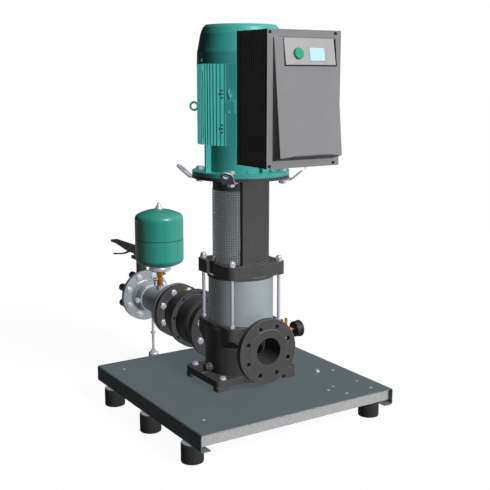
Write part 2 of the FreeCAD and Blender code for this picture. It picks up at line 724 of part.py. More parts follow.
def lifting_lug():
    """Bent strip under the flange: flat leg with a bolt hole, then a tongue bent up with an eye."""
    top = LANTERN_FLANGE_LOW
    thick = 6.0
    width = 44.0
    bolt_x = MOTOR_BOLT_CIRCLE / 2
    bend_x = MOTOR_FLANGE_R + 10
    leg = block(bolt_x - 16, bend_x, -width / 2, width / 2, top - thick, top)
    leg = leg.cut(cyl_z(9, top - thick - 1, top + 1, bolt_x))
    tongue_long = 42.0
    tongue = joined([block(0, tongue_long, -width / 2, width / 2, -thick, 0),
                     cyl_z(width / 2, -thick, 0, tongue_long)])
    tongue = tongue.cut(cyl_z(11.5, -thick - 1, 1, tongue_long))
    tongue.rotate(V(0, 0, 0), V(0, 1, 0), -40)
    tongue.translate(V(bend_x, 0, top))
    knee = Part.makeCylinder(thick, width, V(bend_x, -width / 2, top), V(0, 1, 0))
    knee = knee.common(extruded([V(bend_x, -width, top), V(bend_x, -width, top - 10),
                                 V(bend_x + 6.5, -width, top - 7.7)], V(0, 2 * width, 0)))
    return joined([leg, tongue, knee])


def lifting_lugs():
    """Four lugs, one under each motor bolt."""
    return Part.makeCompound(ring_of(lifting_lug(), 4, 45))


def motor_bolts():
    """Four bolts through motor flange, lantern flange and lug."""
    grip = MOTOR_FLANGE_TOP - LANTERN_FLANGE_LOW + 6
    one = bolt(V(MOTOR_BOLT_CIRCLE / 2, 0, MOTOR_FLANGE_TOP), V(0, 0, -1), grip, BOLT_R, 24)
    return Part.makeCompound(ring_of(one, 4, 45))


# Motor

def motor_end_shields():
    """Drive-end bell with the mounting flange and ribs, and the bearing shield under the fan."""
    low = MOTOR_FACE
    flange_top = MOTOR_FLANGE_TOP
    inner = BELL_R - BELL_WALL
    bearing_low = FRAME_LOW - 34
    bell = spun_z([(inner, low), (124.8, low - 3.8), (124.8, low), (MOTOR_FLANGE_R, low),
                   (MOTOR_FLANGE_R, flange_top), (BELL_R, flange_top),
                   (BELL_R, FRAME_LOW), (inner, FRAME_LOW)])
    web = spun_z([(36, bearing_low), (inner + 1, bearing_low), (inner + 1, bearing_low + 8), (48, bearing_low + 8),
                  (48, bearing_low + 26), (40.2, bearing_low + 26), (40.2, bearing_low + 4), (36, bearing_low + 4)])
    rib = block(BELL_R - 2, 145, -4, 4, flange_top - 1, FRAME_LOW)
    gusset = side_profile([(BELL_R - 2, flange_top - 1), (BELL_R + 20, flange_top - 1), (BELL_R - 2, flange_top + 16)],
                          -4, 4)
    gussets = [turned(gusset, 180 * half + lean) for half in (0, 1) for lean in (-21, 21)]
    front = joined([bell, web] + ring_of(rib, 4) + gussets)
    front = cut_all(front, ring_of(cyl_z(9, low - 1, flange_top + 1, MOTOR_BOLT_CIRCLE / 2), 4, 45))
    seat = FRAME_TOP - 22
    r = STATOR_R + LOOSE_FIT
    rear = spun_z([(30, seat + 16), (r, seat + 16), (r, FRAME_TOP - 1), (30, FRAME_TOP - 1)])
    cup = spun_z([(36.2, seat - 6), (46, seat - 6), (46, seat + 17), (30, seat + 17), (30, seat + 12), (36.2, seat + 12)])
    rear = joined([rear.common(cyl_z(STATOR_R - LOOSE_FIT, seat, FRAME_TOP)), cup])
    rear = rear.cut(cyl_z(MOTOR_SHAFT_R + 1, seat - 10, FRAME_TOP + 1))
    return Part.makeCompound([front, rear])


def motor_frame():
    """Finned stator frame with flat corner pads, lug pockets and a pad for the inverter."""
    low = FRAME_LOW
    high = FRAME_TOP
    core = cyl_z(FRAME_CORE_R, low, high)
    fins = []
    half = FIN_THICK / 2
    reach = 92.0
    count = int(reach // FIN_PITCH)
    for step in range(-count, count + 1):
        at = step * FIN_PITCH
        fins.append(block(-FIN_TIP_R, FIN_TIP_R, at - half, at + half, low, high))
        fins.append(block(at - half, at + half, -20, FIN_TIP_R, low, high))
    envelope = cyl_z(FIN_TIP_R, low, high)
    finned = joined([core] + fins).common(envelope)
    pads = ring_of(block(120, PAD_FACE_R, -19, 19, low, high), 4, 45)
    pocket = block(-FIN_TIP_R - 1, -FRAME_CORE_R - 2, -7, 7, 0, 24)
    pockets = []
    for side in (0, 180):
        for z in (low - 1, high - 23):
            piece = turned(pocket, side)
            piece.translate(V(0, 0, z))
            pockets.append(piece)
    seat = rounded_block(-80, 80, -INVERTER_BACK + 48, -110, 1030, 1230, 10, V(0, 1, 0))
    gland_boss = rounded_block(PAD_FACE_R - 9, PAD_FACE_R + 17, -15, 15, 1090, 1136, 5, V(1, 0, 0))
    gland_boss = turned(gland_boss.cut(cyl_x(5, 156, 170, 0, 1101)), 225)
    body = joined([finned, seat, gland_boss] + pads)
    return cut_all(body, pockets + [cyl_z(STATOR_R + SLIDE_FIT, low - 1, high + 1)])


def stator_core():
    """Laminated stator with the winding heads above and below it."""
    low = FRAME_LOW + 36
    high = FRAME_TOP - 62
    inner = ROTOR_R + AIR_GAP
    core = cyl_z(STATOR_R, low, high).cut(cyl_z(inner, low - 1, high + 1))
    heads = []
    for z0, z1 in ((low - 26, low), (high, high + 26)):
        heads.append(spun_z([(inner + 5, z0), (STATOR_R - 12, z0), (STATOR_R - 8, (z0 + z1) / 2),
                             (STATOR_R - 12, z1), (inner + 5, z1)]))
    return joined([core] + heads)


def motor_rotor():
    """Rotor core and the motor shaft that carries it, the fan and the upper coupling end."""
    low, high = coupling_span()
    bottom = (low + high) / 2 + COUPLING_GAP
    core_low = FRAME_LOW + 34
    core_high = FRAME_TOP - 60
    r = MOTOR_SHAFT_R
    top = FAN_HUB_LOW + 30
    shaft = spun_z([(0, bottom), (r - 1, bottom), (r, bottom + 1), (r, MOTOR_FACE + 40), (24, MOTOR_FACE + 44),
                    (24, FRAME_TOP - 34), (r, FRAME_TOP - 30), (r, FRAME_TOP - 6), (12, FRAME_TOP - 4),
                    (12, top), (0, top)])
    core = spun_z([(24, core_low), (ROTOR_R, core_low), (ROTOR_R, core_high), (24, core_high)])
    return shaft.fuse(core)


def motor_bearings():
    """Ball bearings at both ends, each one ring with grooved faces."""
    rings = []
    for low, bore, outer in ((FRAME_LOW - 30, 24 + SLIDE_FIT, 40.0), (FRAME_TOP - 27, MOTOR_SHAFT_R + SLIDE_FIT, 36.0)):
        high = low + 17
        lip = (bore + outer) / 2
        rings.append(spun_z([(bore, low), (lip - 4, low), (lip - 4, low + 2), (lip + 4, low + 2), (lip + 4, low),
                             (outer, low), (outer, high), (lip + 4, high), (lip + 4, high - 2), (lip - 4, high - 2),
                             (lip - 4, high), (bore, high)]))
    return Part.makeCompound(rings)


def cooling_fan():
    """Radial fan on the shaft's top end."""
    low = FAN_HUB_LOW
    r = 12 + LOOSE_FIT / 3
    hub = spun_z([(r, low), (30, low), (30, low + 24), (r, low + 24)])
    disc = spun_z([(28, low), (112, low + 6), (112, low + 9), (28, low + 4)])
    blade = block(24, 112, -1.5, 1.5, low + 3, low + 42)
    trim = spun_z([(20, low + 2), (112, low + 7), (112, low + 42), (60, low + 42), (20, low + 20)])
    blades = [piece.common(trim) for piece in ring_of(blade, 7)]
    return joined([hub, disc] + blades).cut(cyl_z(r, low - 1, low + 60))


def fan_cover():
    """Deep cowl over the fan, with rings of air slots in its flat top."""
    low = FRAME_TOP + LOOSE_FIT
    top = COWL_TOP
    w = COWL_WALL
    outer = spun_z([(0, low), (COWL_LOW_R, low), (COWL_LOW_R - 1, low + 40), (COWL_HIGH_R + 8, top - 30),
                    (COWL_HIGH_R, top - 10), (COWL_HIGH_R - 9, top), (0, top)])
    inner = spun_z([(0, low - 1), (COWL_LOW_R - w, low - 1), (COWL_LOW_R - 1 - w, low + 40),
                    (COWL_HIGH_R + 8 - w, top - 30), (COWL_HIGH_R - w, top - 10 - w / 2),
                    (COWL_HIGH_R - 9 - w / 2, top - w), (0, top - w)])
    shell = outer.cut(inner)
    slots = []
    spokes = joined([block(-7, 7, -150, 150, top - 20, top + 1), block(-150, 150, -7, 7, top - 20, top + 1)])
    for ring in range(4):
        r0 = 30 + 22 * ring
        band = cyl_z(r0 + 12, top - 8, top + 1).cut(cyl_z(r0, top - 9, top + 2))
        slots.append(band.cut(spokes))
    return shell.cut(Part.makeCompound(slots))


def motor_eyes():
    """Two lifting eyes screwed into the frame's corner pads."""
    eyes = []
    ring_r = 13.5
    wire_r = 4.0
    collar = 3.0
    centre = PAD_FACE_R + collar + ring_r + wire_r - 1
    for angle, z in ((225, 1157), (135, 1112)):
        ring = Part.makeTorus(ring_r, wire_r, V(centre, 0, z), V(0, 1, 0))
        foot = joined([cyl_x(9, PAD_FACE_R, PAD_FACE_R + collar, 0, z), ring])
        eyes.append(turned(foot, angle))
    return Part.makeCompound(eyes)


# Inverter

def inverter_adapter():
    """Hollow neck that carries the inverter on the frame's front pad."""
    y0 = -INVERTER_BACK
    y1 = -INVERTER_BACK + 48
    outer = rounded_block(-75, 75, y0, y1, 1035, 1225, 12, V(0, 1, 0))
    inner = rounded_block(-67, 67, y0 - 1, y1 + 1, 1043, 1217, 6, V(0, 1, 0))
    return outer.cut(inner)


def inverter_housing():
    """Die-cast housing with upright cooling fins on both sides and a thin back plate."""
    half = INVERTER_HALF_WIDTH
    back = -INVERTER_BACK
    front = -INVERTER_FRONT + LID_RIM
    low = INVERTER_LOW
    top = INVERTER_TOP
    core = block(-half + HEAT_FIN_DEPTH, half - HEAT_FIN_DEPTH, front, back, low, top)
    plate = block(-half, half, back - 3, back, low, top)
    pieces = [core, plate, block(-half, half, front, front + 4, low, top)]
    count = int((back - front - 10) // HEAT_FIN_PITCH)
    for step in range(count):
        y = front + 4 + HEAT_FIN_PITCH * (step + 0.6)
        pieces.append(block(-half, half, y, y + HEAT_FIN_THICK, low + 4, top - 2))
    wall = HOUSING_WALL
    reach = half - HEAT_FIN_DEPTH - wall
    room = rounded_block(-reach, reach, front - 1, back - 2 * wall, low + wall, top - wall, 8, V(0, 1, 0))
    return joined(pieces).cut(room)


def lid_screw_places():
    """Corner screws of the inverter lid, as (x, z)."""
    return [(x, z) for x in (-132.0, 118.0) for z in (INVERTER_LOW + 9, INVERTER_TOP - 9)]


def panel_box():
    """Outline of the recessed control panel: left, right, low, high."""
    return -80.0, 112.0, 1251.0, 1332.0


def hood_form(inset, low, top):
    """Wedge of the hood, swelling to its middle, set in by a wall and trimmed to two heights."""
    face = -INVERTER_FRONT
    front = -HOOD_FRONT + inset
    base = HOOD_LOW + inset
    belly = base + 15
    half = HOOD_HALF_WIDTH - inset
    outline = [(face + 2, base), (front, belly), (face - 2 - HOOD_CROWN + inset, HOOD_TOP), (face + 2, HOOD_TOP)]
    wedge = side_profile(outline, -half, half)
    nose = [edge for edge in edges_along(wedge, V(1, 0, 0)) if edge.CenterOfMass.y < front + 1]
    wedge = wedge.makeFillet(8 - inset, nose)
    crown_r = (HOOD_HALF_WIDTH ** 2 + HOOD_CROWN ** 2) / (2 * HOOD_CROWN) - inset
    slope = math.atan2(HOOD_DEPTH - 2, HOOD_TOP - belly)
    crown = Part.makeCylinder(crown_r, 700, V(0, 0, -350))
    crown.rotate(V(0, 0, 0), V(1, 0, 0), -math.degrees(slope))
    crown.translate(V(0, front + crown_r + (HOOD_DEPTH - 2) / 2, (belly + HOOD_TOP) / 2))
    return wedge.common(crown).common(block(-half, half, front - 5, face + 2, low, top))


def inverter_cover():
    """Lid with a flat rim and a hollow wedge-shaped hood that swells towards its lower end."""
    half = INVERTER_HALF_WIDTH
    face = -INVERTER_FRONT
    rim = rounded_block(-half, half, face, face + LID_RIM, INVERTER_LOW, INVERTER_TOP, 3, V(0, 1, 0))
    left, right, p_low, p_high = panel_box()
    hood = hood_form(0, HOOD_LOW, HOOD_TOP)
    pocket = block(left - 11, right + 3, face - 60, face + 3, p_low - 5, p_high + 3)
    body = joined([rim, hood]).cut(pocket)
    room = hood_form(HOOD_WALL, HOOD_LOW + HOOD_WALL, p_low - 5 - HOOD_WALL)
    mouth = block(-HOOD_HALF_WIDTH + 14, HOOD_HALF_WIDTH - 14, face + 1, face + LID_RIM + 1,
                  HOOD_LOW + 14, p_low - 14)
    holes = [cyl_y(3.3, face - 1, face + LID_RIM + 1, x, z) for x, z in lid_screw_places()]
    spindle_deep = SPINDLE_BEHIND + KNOB_TRAVEL + 2
    spindle_room = Part.makeCylinder(SPINDLE_R + 1.5, spindle_deep, V(0, 0, -spindle_deep))
    spindle_room.Placement = panel_frame(KNOB_X, KNOB_Z)
    return cut_all(body, holes + [room.fuse(mouth), spindle_room])


def panel_point(x, z):
    """Point on the tilted panel face at a height."""
    low = panel_box()[2]
    y = -INVERTER_FRONT - 14 + (z - low) * math.tan(math.radians(PANEL_TILT))
    return V(x, y, z)


def panel_normal():
    """Outward direction of the tilted panel face."""
    tilt = math.radians(PANEL_TILT)
    return V(0, -math.cos(tilt), math.sin(tilt))


def panel_frame(x, z, lift=0.0):
    """Placement whose +Z is the panel's outward normal, at a point of its face."""
    rotation = FreeCAD.Rotation(V(1, 0, 0), 90 - PANEL_TILT)
    return FreeCAD.Placement(panel_point(x, z) + panel_normal() * lift, rotation)


def control_panel():
    """Tilted panel in the hood's recess, with a display window and the knob's hole."""
    left, right, low, high = panel_box()
    back = -INVERTER_FRONT + 3
    top_y = panel_point(0, high).y
    low_y = panel_point(0, low).y
    plate = side_profile([(back, low), (low_y, low), (top_y, high), (back, high)], left, right)
    window = Part.makeBox(DISPLAY_W, DISPLAY_H, 4, V(-DISPLAY_W / 2, -DISPLAY_H / 2, -1.5))
    window.Placement = panel_frame(DISPLAY_X, DISPLAY_Z)
    hole = Part.makeCylinder(SPINDLE_R + SLIDE_FIT, 13, V(0, 0, -12))
    hole.Placement = panel_frame(KNOB_X, KNOB_Z)
    return cut_all(plate, [window, hole])


def display_window():
    """Clear window over the display, set into the panel."""
    gap = LOOSE_FIT
    glass = Part.makeBox(DISPLAY_W - 2 * gap, DISPLAY_H - 2 * gap, 2,
                         V(-DISPLAY_W / 2 + gap, -DISPLAY_H / 2 + gap, -1.5))
    glass.Placement = panel_frame(DISPLAY_X, DISPLAY_Z)
    return glass


def knob_spindle():
    """Spindle of the knob, which also moves in when the knob is pressed."""
    pin = Part.makeCylinder(SPINDLE_R, SPINDLE_BEHIND + 10, V(0, 0, -SPINDLE_BEHIND))
    pin.Placement = panel_frame(KNOB_X, KNOB_Z)
    return pin


def control_knob():
    """Round knob turned and pressed by hand, with grip flutes round its rim."""
    bore = SPINDLE_R + SLIDE_FIT
    body = spun_z([(bore, 0), (KNOB_R, 0), (KNOB_R - 0.8, KNOB_LENGTH - 1.5), (KNOB_R - 2.3, KNOB_LENGTH),
                   (0, KNOB_LENGTH), (0, 10.3), (bore, 10.3)])
    flute = cyl_z(1.6, -1, KNOB_LENGTH + 1, KNOB_R + 0.9)
    body = cut_all(body, ring_of(flute, 12))
    body.Placement = panel_frame(KNOB_X, KNOB_Z, KNOB_TRAVEL + LOOSE_FIT)
    return body


def cover_screws():
    """Small screws of the inverter lid, the fan cowl and the two guards."""
    screws = []
    face = -INVERTER_FRONT
    for x, z in lid_screw_places():
        screws.append(joined([cyl_y(5, face - 3, face, x, z), cyl_y(3, face, face + LID_RIM, x, z)]))
    return Part.makeCompound(screws)


# Check valve

def check_inlet_body():
    """Pump-side half: flange, waisted neck, drum, seat ring and the joint ring."""
    y0 = CHECK_Y0
    f = y0 + FLANGE_THICK
    seat = CHECK_SEAT
    ring = RING_FACE
    mid = CHECK_MID
    profile = [(BORE_R, y0), (RAISED_FACE_R, y0), (PIPE_FLANGE_R, y0 + 0.1), (PIPE_FLANGE_R, f), (74, f), (72, f + 14),
               (94, f + 32), (99, f + 46), (99, ring), (CHECK_RING_R, ring), (CHECK_RING_R, mid), (80, mid),
               (80, seat + 2), (78, seat), (52, seat), (52, seat - 4), (72, seat - 16), (72, f + 46), (BORE_R, f + 8)]
    body = spun_y(profile, 0, PORT_Z)
    small = ring_of(cyl_y(4.2, ring - 1, mid + 1, CHECK_RING_CIRCLE / 2, PORT_Z), 8, 10, V(0, 1, 0), V(0, 0, PORT_Z))
    return cut_all(body, port_holes(y0 - 1, f + 1, JOINT_HOLE_R) + small)


def check_outlet_body():
    """Pipe-side half: joint ring, tapering bowl, flange and the spider that guides the disc's stem."""
    mid = CHECK_MID
    y1 = CHECK_Y1
    f = y1 - FLANGE_THICK - RAISED_FACE
    profile = [(80, mid), (CHECK_RING_R, mid), (CHECK_RING_R, mid + CHECK_RING_THICK), (100, mid + CHECK_RING_THICK + 3),
               (92, f - 36), (74, f - 18), (74, f), (PIPE_FLANGE_R, f), (PIPE_FLANGE_R, y1), (BORE_R, y1),
               (BORE_R, f - 4), (66, f - 30), (80, f - 60)]
    body = spun_y(profile, 0, PORT_Z)
    hub_y0 = SPIDER_Y
    hub = cyl_y(12, hub_y0, hub_y0 + 26, 0, PORT_Z)
    arm = block(8, 79, hub_y0 + 4, hub_y0 + 16, PORT_Z - 4, PORT_Z + 4)
    arms = ring_of(arm, 3, 90, V(0, 1, 0), V(0, 0, PORT_Z))
    plug_y = CHECK_PLUG_Y
    boss = cyl_z(13, PORT_Z + 70, PORT_Z + 94, 0, plug_y)
    keep = spun_y([(0, mid), (95, mid), (95, f - 40), (73, f - 20), (0, f - 20)], 0, PORT_Z)
    body = joined([body, hub, boss.cut(cyl_y(78, mid, f, 0, PORT_Z))] + [piece.common(keep) for piece in arms])
    small = ring_of(cyl_y(4.2, mid - 1, mid + CHECK_RING_THICK + 1, CHECK_RING_CIRCLE / 2, PORT_Z), 8, 10,
                    V(0, 1, 0), V(0, 0, PORT_Z))
    tools = [cyl_y(6 + SLIDE_FIT, hub_y0 - 1, hub_y0 + 27, 0, PORT_Z),
             cyl_z(6.2, PORT_Z + 60, PORT_Z + 95, 0, plug_y)]
    return cut_all(body, port_holes(f - 1, y1 + 1, JOINT_HOLE_R) + small + tools)


def check_ring_bolts():
    """Eight small socket screws that hold the two halves together."""
    screw = joined([cyl_y(6, RING_FACE - 6, RING_FACE, CHECK_RING_CIRCLE / 2, PORT_Z),
                    cyl_y(4, RING_FACE, CHECK_MID + CHECK_RING_THICK, CHECK_RING_CIRCLE / 2, PORT_Z)])
    return Part.makeCompound(ring_of(screw, 8, 10, V(0, 1, 0), V(0, 0, PORT_Z)))


def check_disc():
    """Disc on its seat with the stem that slides in the spider."""
    s = CHECK_SEAT
    return spun_y([(0, s), (DISC_R, s), (DISC_R, s + 8), (22, s + 14), (6, s + 16), (6, SPIDER_Y + 33),
                   (0, SPIDER_Y + 33)], 0, PORT_Z)


def check_spring():
    """Closing spring between disc and spider."""
    start = CHECK_SEAT + 16.3
    length = SPIDER_Y - LOOSE_FIT - start
    turns = 5
    r = 13.0
    wire = 1.6
    helix = Part.makeHelix((length - 2 * wire) / turns, length - 2 * wire, r)
    section = Part.makePolygon([V(r - wire, 0, -wire), V(r + wire, 0, -wire), V(r + wire, 0, wire),
                                V(r - wire, 0, wire), V(r - wire, 0, -wire)])
    coil = Part.Wire(helix).makePipeShell([section], True, True)
    coil.rotate(V(0, 0, 0), V(1, 0, 0), -90)
    coil.translate(V(0, start + wire, PORT_Z))
    return coil


def check_plug():
    """Brass test plug on top of the check valve."""
    y = CHECK_PLUG_Y
    z = PORT_Z + 94
    shank = cyl_z(6, z - 14, z, 0, y)
    head = cyl_z(8, z, z + 4, 0, y)
    return joined([shank, head, hexagon(13, V(0, y, z + 4), V(0, 0, 1), 7)])


# Outlet pipe

def discharge_pipe():
    """Pipe spool with a flange at each end and a threaded socket on top for the vessel."""
    bore = PIPE_R - PIPE_WALL
    f0 = PIPE_Y0 + FLANGE_THICK
    f1 = PIPE_Y1 - FLANGE_THICK
    r = PIPE_FLANGE_R
    profile = [(bore, PIPE_Y0), (r - 1, PIPE_Y0), (r, PIPE_Y0 + 1), (r, f0 - 1), (r - 1, f0), (PIPE_R + 9, f0),
               (PIPE_R, f0 + 14), (PIPE_R, f1 - 14), (PIPE_R + 9, f1), (r - 1, f1), (r, f1 + 1), (r, PIPE_Y1 - 1),
               (r - 1, PIPE_Y1), (bore, PIPE_Y1)]
    spool = spun_y(profile, 0, PORT_Z)
    socket = cyl_z(17, PORT_Z + PIPE_R - 5, PORT_Z + PIPE_R + 14, 0, SOCKET_Y)
    body = joined([spool, socket.cut(cyl_y(bore + 1, SOCKET_Y - 30, SOCKET_Y + 30, 0, PORT_Z))])
    tools = port_holes(PIPE_Y0 - 1, f0 + 1, JOINT_HOLE_R) + port_holes(f1 - 1, PIPE_Y1 + 1, JOINT_HOLE_R)
    return cut_all(body, tools + [cyl_z(10.2, PORT_Z + PIPE_R - 10, PORT_Z + PIPE_R + 20, 0, SOCKET_Y)])


def flange_gaskets():
    """Flat gaskets on both faces of the check valve."""
    rings = []
    for y in (PUMP_FACE, CHECK_Y1):
        rings.append(cyl_y(RAISED_FACE_R, y, y + GASKET, 0, PORT_Z).cut(cyl_y(BORE_R + 1, y - 1, y + 3, 0, PORT_Z)))
    return Part.makeCompound(rings)


def flange_bolts():
    """Bolts of the three bolted flange joints."""
    back = V(0, -1, 0)
    x = BOLT_CIRCLE / 2
    pump_side = bolt(V(x, CHECK_Y0 + FLANGE_THICK, PORT_Z), back, CHECK_Y0 + FLANGE_THICK - FLANGE_BACK, BOLT_R, 24)
    f = CHECK_Y1 - FLANGE_THICK - RAISED_FACE
    pipe_side = bolt(V(x, PIPE_Y0 + FLANGE_THICK, PORT_Z), back, PIPE_Y0 + FLANGE_THICK - f, BOLT_R, 24)
    far = bolt(V(x, PIPE_Y1 - FLANGE_THICK, PORT_Z), V(0, 1, 0), FLANGE_THICK + WAFER_LENGTH / 2, BOLT_R, 24, False)
    pieces = []
    for piece in (pump_side, pipe_side, far):
        pieces += on_port_circle(piece)
    return Part.makeCompound(pieces)


def pipe_support():
    """Two-part pipe clamp with its screws, the threaded rod, two nuts and the foot on the floor."""
    y0 = SUPPORT_Y - 12
    y1 = SUPPORT_Y + 12
    inner = PIPE_R + LOOSE_FIT / 2
    outer = inner + 4
    ring = cyl_y(outer, y0, y1, 0, PORT_Z)
    ears = joined([ring, block(-outer - 22, outer + 22, y0, y1, PORT_Z - 5.5, PORT_Z + 5.5)])
    ears = ears.cut(cyl_y(inner, y0 - 1, y1 + 1, 0, PORT_Z))
    ears = cut_all(ears, [cyl_z(4.3, PORT_Z - 10, PORT_Z + 10, side * (outer + 12), SUPPORT_Y) for side in (-1, 1)])
    gap = 1.5
    upper = ears.common(block(-120, 120, y0, y1, PORT_Z + gap, PORT_Z + 80))
    lower = ears.common(block(-120, 120, y0, y1, PORT_Z - 80, PORT_Z - gap))
    nut_top = PORT_Z - outer
    socket = hexagon(17, V(0, SUPPORT_Y, nut_top - 16), V(0, 0, 1), 18)
    socket = socket.cut(cyl_y(inner + 2, y0 - 5, y1 + 5, 0, PORT_Z))
    socket = socket.cut(cyl_z(ROD_R + LOOSE_FIT, nut_top - 20, nut_top - 2, 0, SUPPORT_Y))
    lower = joined([lower, socket])
    screws = [bolt(V(side * (outer + 12), SUPPORT_Y, PORT_Z + 5.5), V(0, 0, -1), 11, 4, 13) for side in (-1, 1)]
    foot = spun_z([(0, 0), (20, 0), (22, 2), (22, 20), (19, 24), (11, 27), (ROD_R + LOOSE_FIT, 27),
                   (ROD_R + LOOSE_FIT, 12), (0, 12)], 0, SUPPORT_Y)
    rod = cyl_z(ROD_R, 12, nut_top - 4, 0, SUPPORT_Y)
    nuts = [hexagon(18, V(0, SUPPORT_Y, z), V(0, 0, 1), 10).cut(cyl_z(ROD_R + LOOSE_FIT / 3, z - 1, z + 11, 0, SUPPORT_Y))
            for z in (27.0, 108.0)]
    return Part.makeCompound([upper, lower, foot, rod] + screws + nuts)


# Butterfly valve

def butterfly_body():
    """Lug body with neck, top plate and the notched stop plate of the lever."""
    y0 = PIPE_Y1 + 1.5
    y1 = WAFER_Y1 - 1.5
    inner = BORE_R + 8.5
    ring = cyl_y(84, y0 + 3, y1 - 3, 0, PORT_Z)
    lugs = on_port_circle(cyl_y(LUG_R, y0, y1, BOLT_CIRCLE / 2, PORT_Z))
    neck = rounded_block(-20, 20, STEM_Y - 16, STEM_Y + 16, PORT_Z + 60, PORT_Z + 159, 8)
    plate = rounded_block(-35, 35, STEM_Y - 35, STEM_Y + 35, PORT_Z + 158, PORT_Z + 170, 10)
    foot = cyl_z(17, PORT_Z - 92, PORT_Z - 60, 0, STEM_Y)
    stop = cyl_z(STOP_R, STOP_LOW, STOP_LOW + STOP_THICK, 0, STEM_Y)
    stop = stop.common(block(-14, 60, STEM_Y - 14, STEM_Y + 60, STOP_LOW - 5, STOP_LOW + 15))
    body = joined([ring, neck, plate, foot, stop] + lugs)
    tools = [cyl_y(inner, y0 - 5, y1 + 5, 0, PORT_Z), cyl_z(STEM_R + SLIDE_FIT, PORT_Z - 80, PORT_Z + 180, 0, STEM_Y)]
    tools += port_holes(y0 - 1, PIPE_Y1 + TAPPED_REACH, TAPPED_HOLE_R)
    tools += port_holes(PIPE_Y1 + TAPPED_REACH, y1 + 1, LUG_HOLE_R)
    notch = block(-NOTCH_WIDTH / 2, NOTCH_WIDTH / 2, STEM_Y + STOP_R - NOTCH_DEEP, STEM_Y + STOP_R + 5,
                  STOP_LOW - 1, STOP_LOW + STOP_THICK + 1)
    notch_count = int(90 / NOTCH_STEP) + 1
    tools += [turned(notch, -NOTCH_STEP * step, V(0, 0, 1), V(0, STEM_Y, 0)) for step in range(notch_count)]
    return cut_all(body, tools)


def butterfly_liner():
    """Rubber liner that seals the disc and both faces."""
    inner = BORE_R + 8.3
    y0 = PIPE_Y1
    y1 = WAFER_Y1
    lip = 1.4
    profile = [(BORE_R, y0), (72, y0), (72, y0 + lip), (inner, y0 + lip), (inner, y1 - lip), (72, y1 - lip),
               (72, y1), (BORE_R, y1)]
    return spun_y(profile, 0, PORT_Z).cut(cyl_z(STEM_R + SLIDE_FIT, PORT_Z - 90, PORT_Z + 90, 0, STEM_Y))


def butterfly_disc():
    """Disc on its stem, edge-on to the flow at rest, with the stem's square end in the lever."""
    r = BORE_R - LOOSE_FIT
    disc = Part.makeSphere(r, V(0, STEM_Y, PORT_Z))
    disc = disc.common(block(-4, 4, STEM_Y - r, STEM_Y + r, PORT_Z - r, PORT_Z + r))
    hub = cyl_z(11, PORT_Z - 42, PORT_Z + 42, 0, STEM_Y)
    stem = cyl_z(STEM_R, PORT_Z - 79, PORT_Z + 205, 0, STEM_Y)
    return joined([disc, hub, stem])


def valve_lever():
    """Channel-shaped hand lever clamped on the stem, with the trigger's pin pressed through it."""
    y = STEM_Y
    z = LEVER_Z
    tip = LEVER_TIP_Y
    half = LEVER_WIDTH / 2
    web = side_profile([(y, z), (y, z + 22), (y + 30, z + 22), (tip - 6, z + 18), (tip, z + 14), (tip, z + 8),
                        (tip - 60, z + 7), (y + 110, z - 8), (y + 56, z - 8), (y + 40, z)], -half, half)
    hollow = side_profile([(y + 32, z - 10), (y + 32, z + 16), (tip - 40, z + 12), (tip - 40, z - 10)],
                          -half + 4, half - 4)
    hub = cyl_z(20, z, z + 22, 0, y)
    pin = cyl_x(3, -half, half, TRIGGER_Y, z)
    body = joined([web.cut(hollow), hub, pin])
    return body.cut(cyl_z(STEM_R + SLIDE_FIT, z - 1, z + 30, 0, y))


def lever_trigger():
    """Squeeze trigger under the lever; its tooth rises into a notch and drops out when squeezed."""
    y = TRIGGER_Y
    z = LEVER_Z
    rim = STEM_Y + STOP_R
    outline = [(rim + 2, STOP_LOW - 0.5), (rim + 2, z - 2), (y - 8, z + 5), (y + 4, z + 5), (y + 46, z - 9),
               (y + 110, z - 30), (y + 196, z - 46), (y + 208, z - 47), (y + 208, z - 51), (y + 194, z - 52),
               (y + 108, z - 36), (y + 44, z - 16), (y + 2, z - 7), (y - 8, z - 7), (rim + 8, STOP_LOW - 0.5)]
    bar = side_profile(outline, -6, 6)
    tooth = block(-NOTCH_WIDTH / 2 + 0.5, NOTCH_WIDTH / 2 - 0.5, rim - NOTCH_DEEP + 0.5, rim + 4,
                  STOP_LOW - 0.5, STOP_LOW + 4.5)
    return joined([bar, tooth]).cut(cyl_x(3 + SLIDE_FIT, -10, 10, y, z))


# Vessel

def dome_outline(inset, mouth_r, upper):
    """Points of a dome and its knuckle, from a central mouth out to the cylinder."""
    r = VESSEL_R - inset
    crown = CROWN_R - inset
    knuckle = KNUCKLE_R - inset
    lean = math.asin((r - knuckle) / (crown - knuckle))
    rise = crown - (crown - knuckle) * math.cos(lean)
    start = math.asin(mouth_r / crown)
    points = []
    for angle in (start, (start + lean) / 2, lean):
        points.append((crown * math.sin(angle), inset + crown - crown * math.cos(angle)))
    for angle in ((lean + math.pi / 2) / 2, math.pi / 2):
        points.append((r - knuckle + knuckle * math.sin(angle), inset + rise - knuckle * math.cos(angle)))
    return [V(x, 0, VESSEL_TOP - depth if upper else VESSEL_LOW + depth) for x, depth in points]


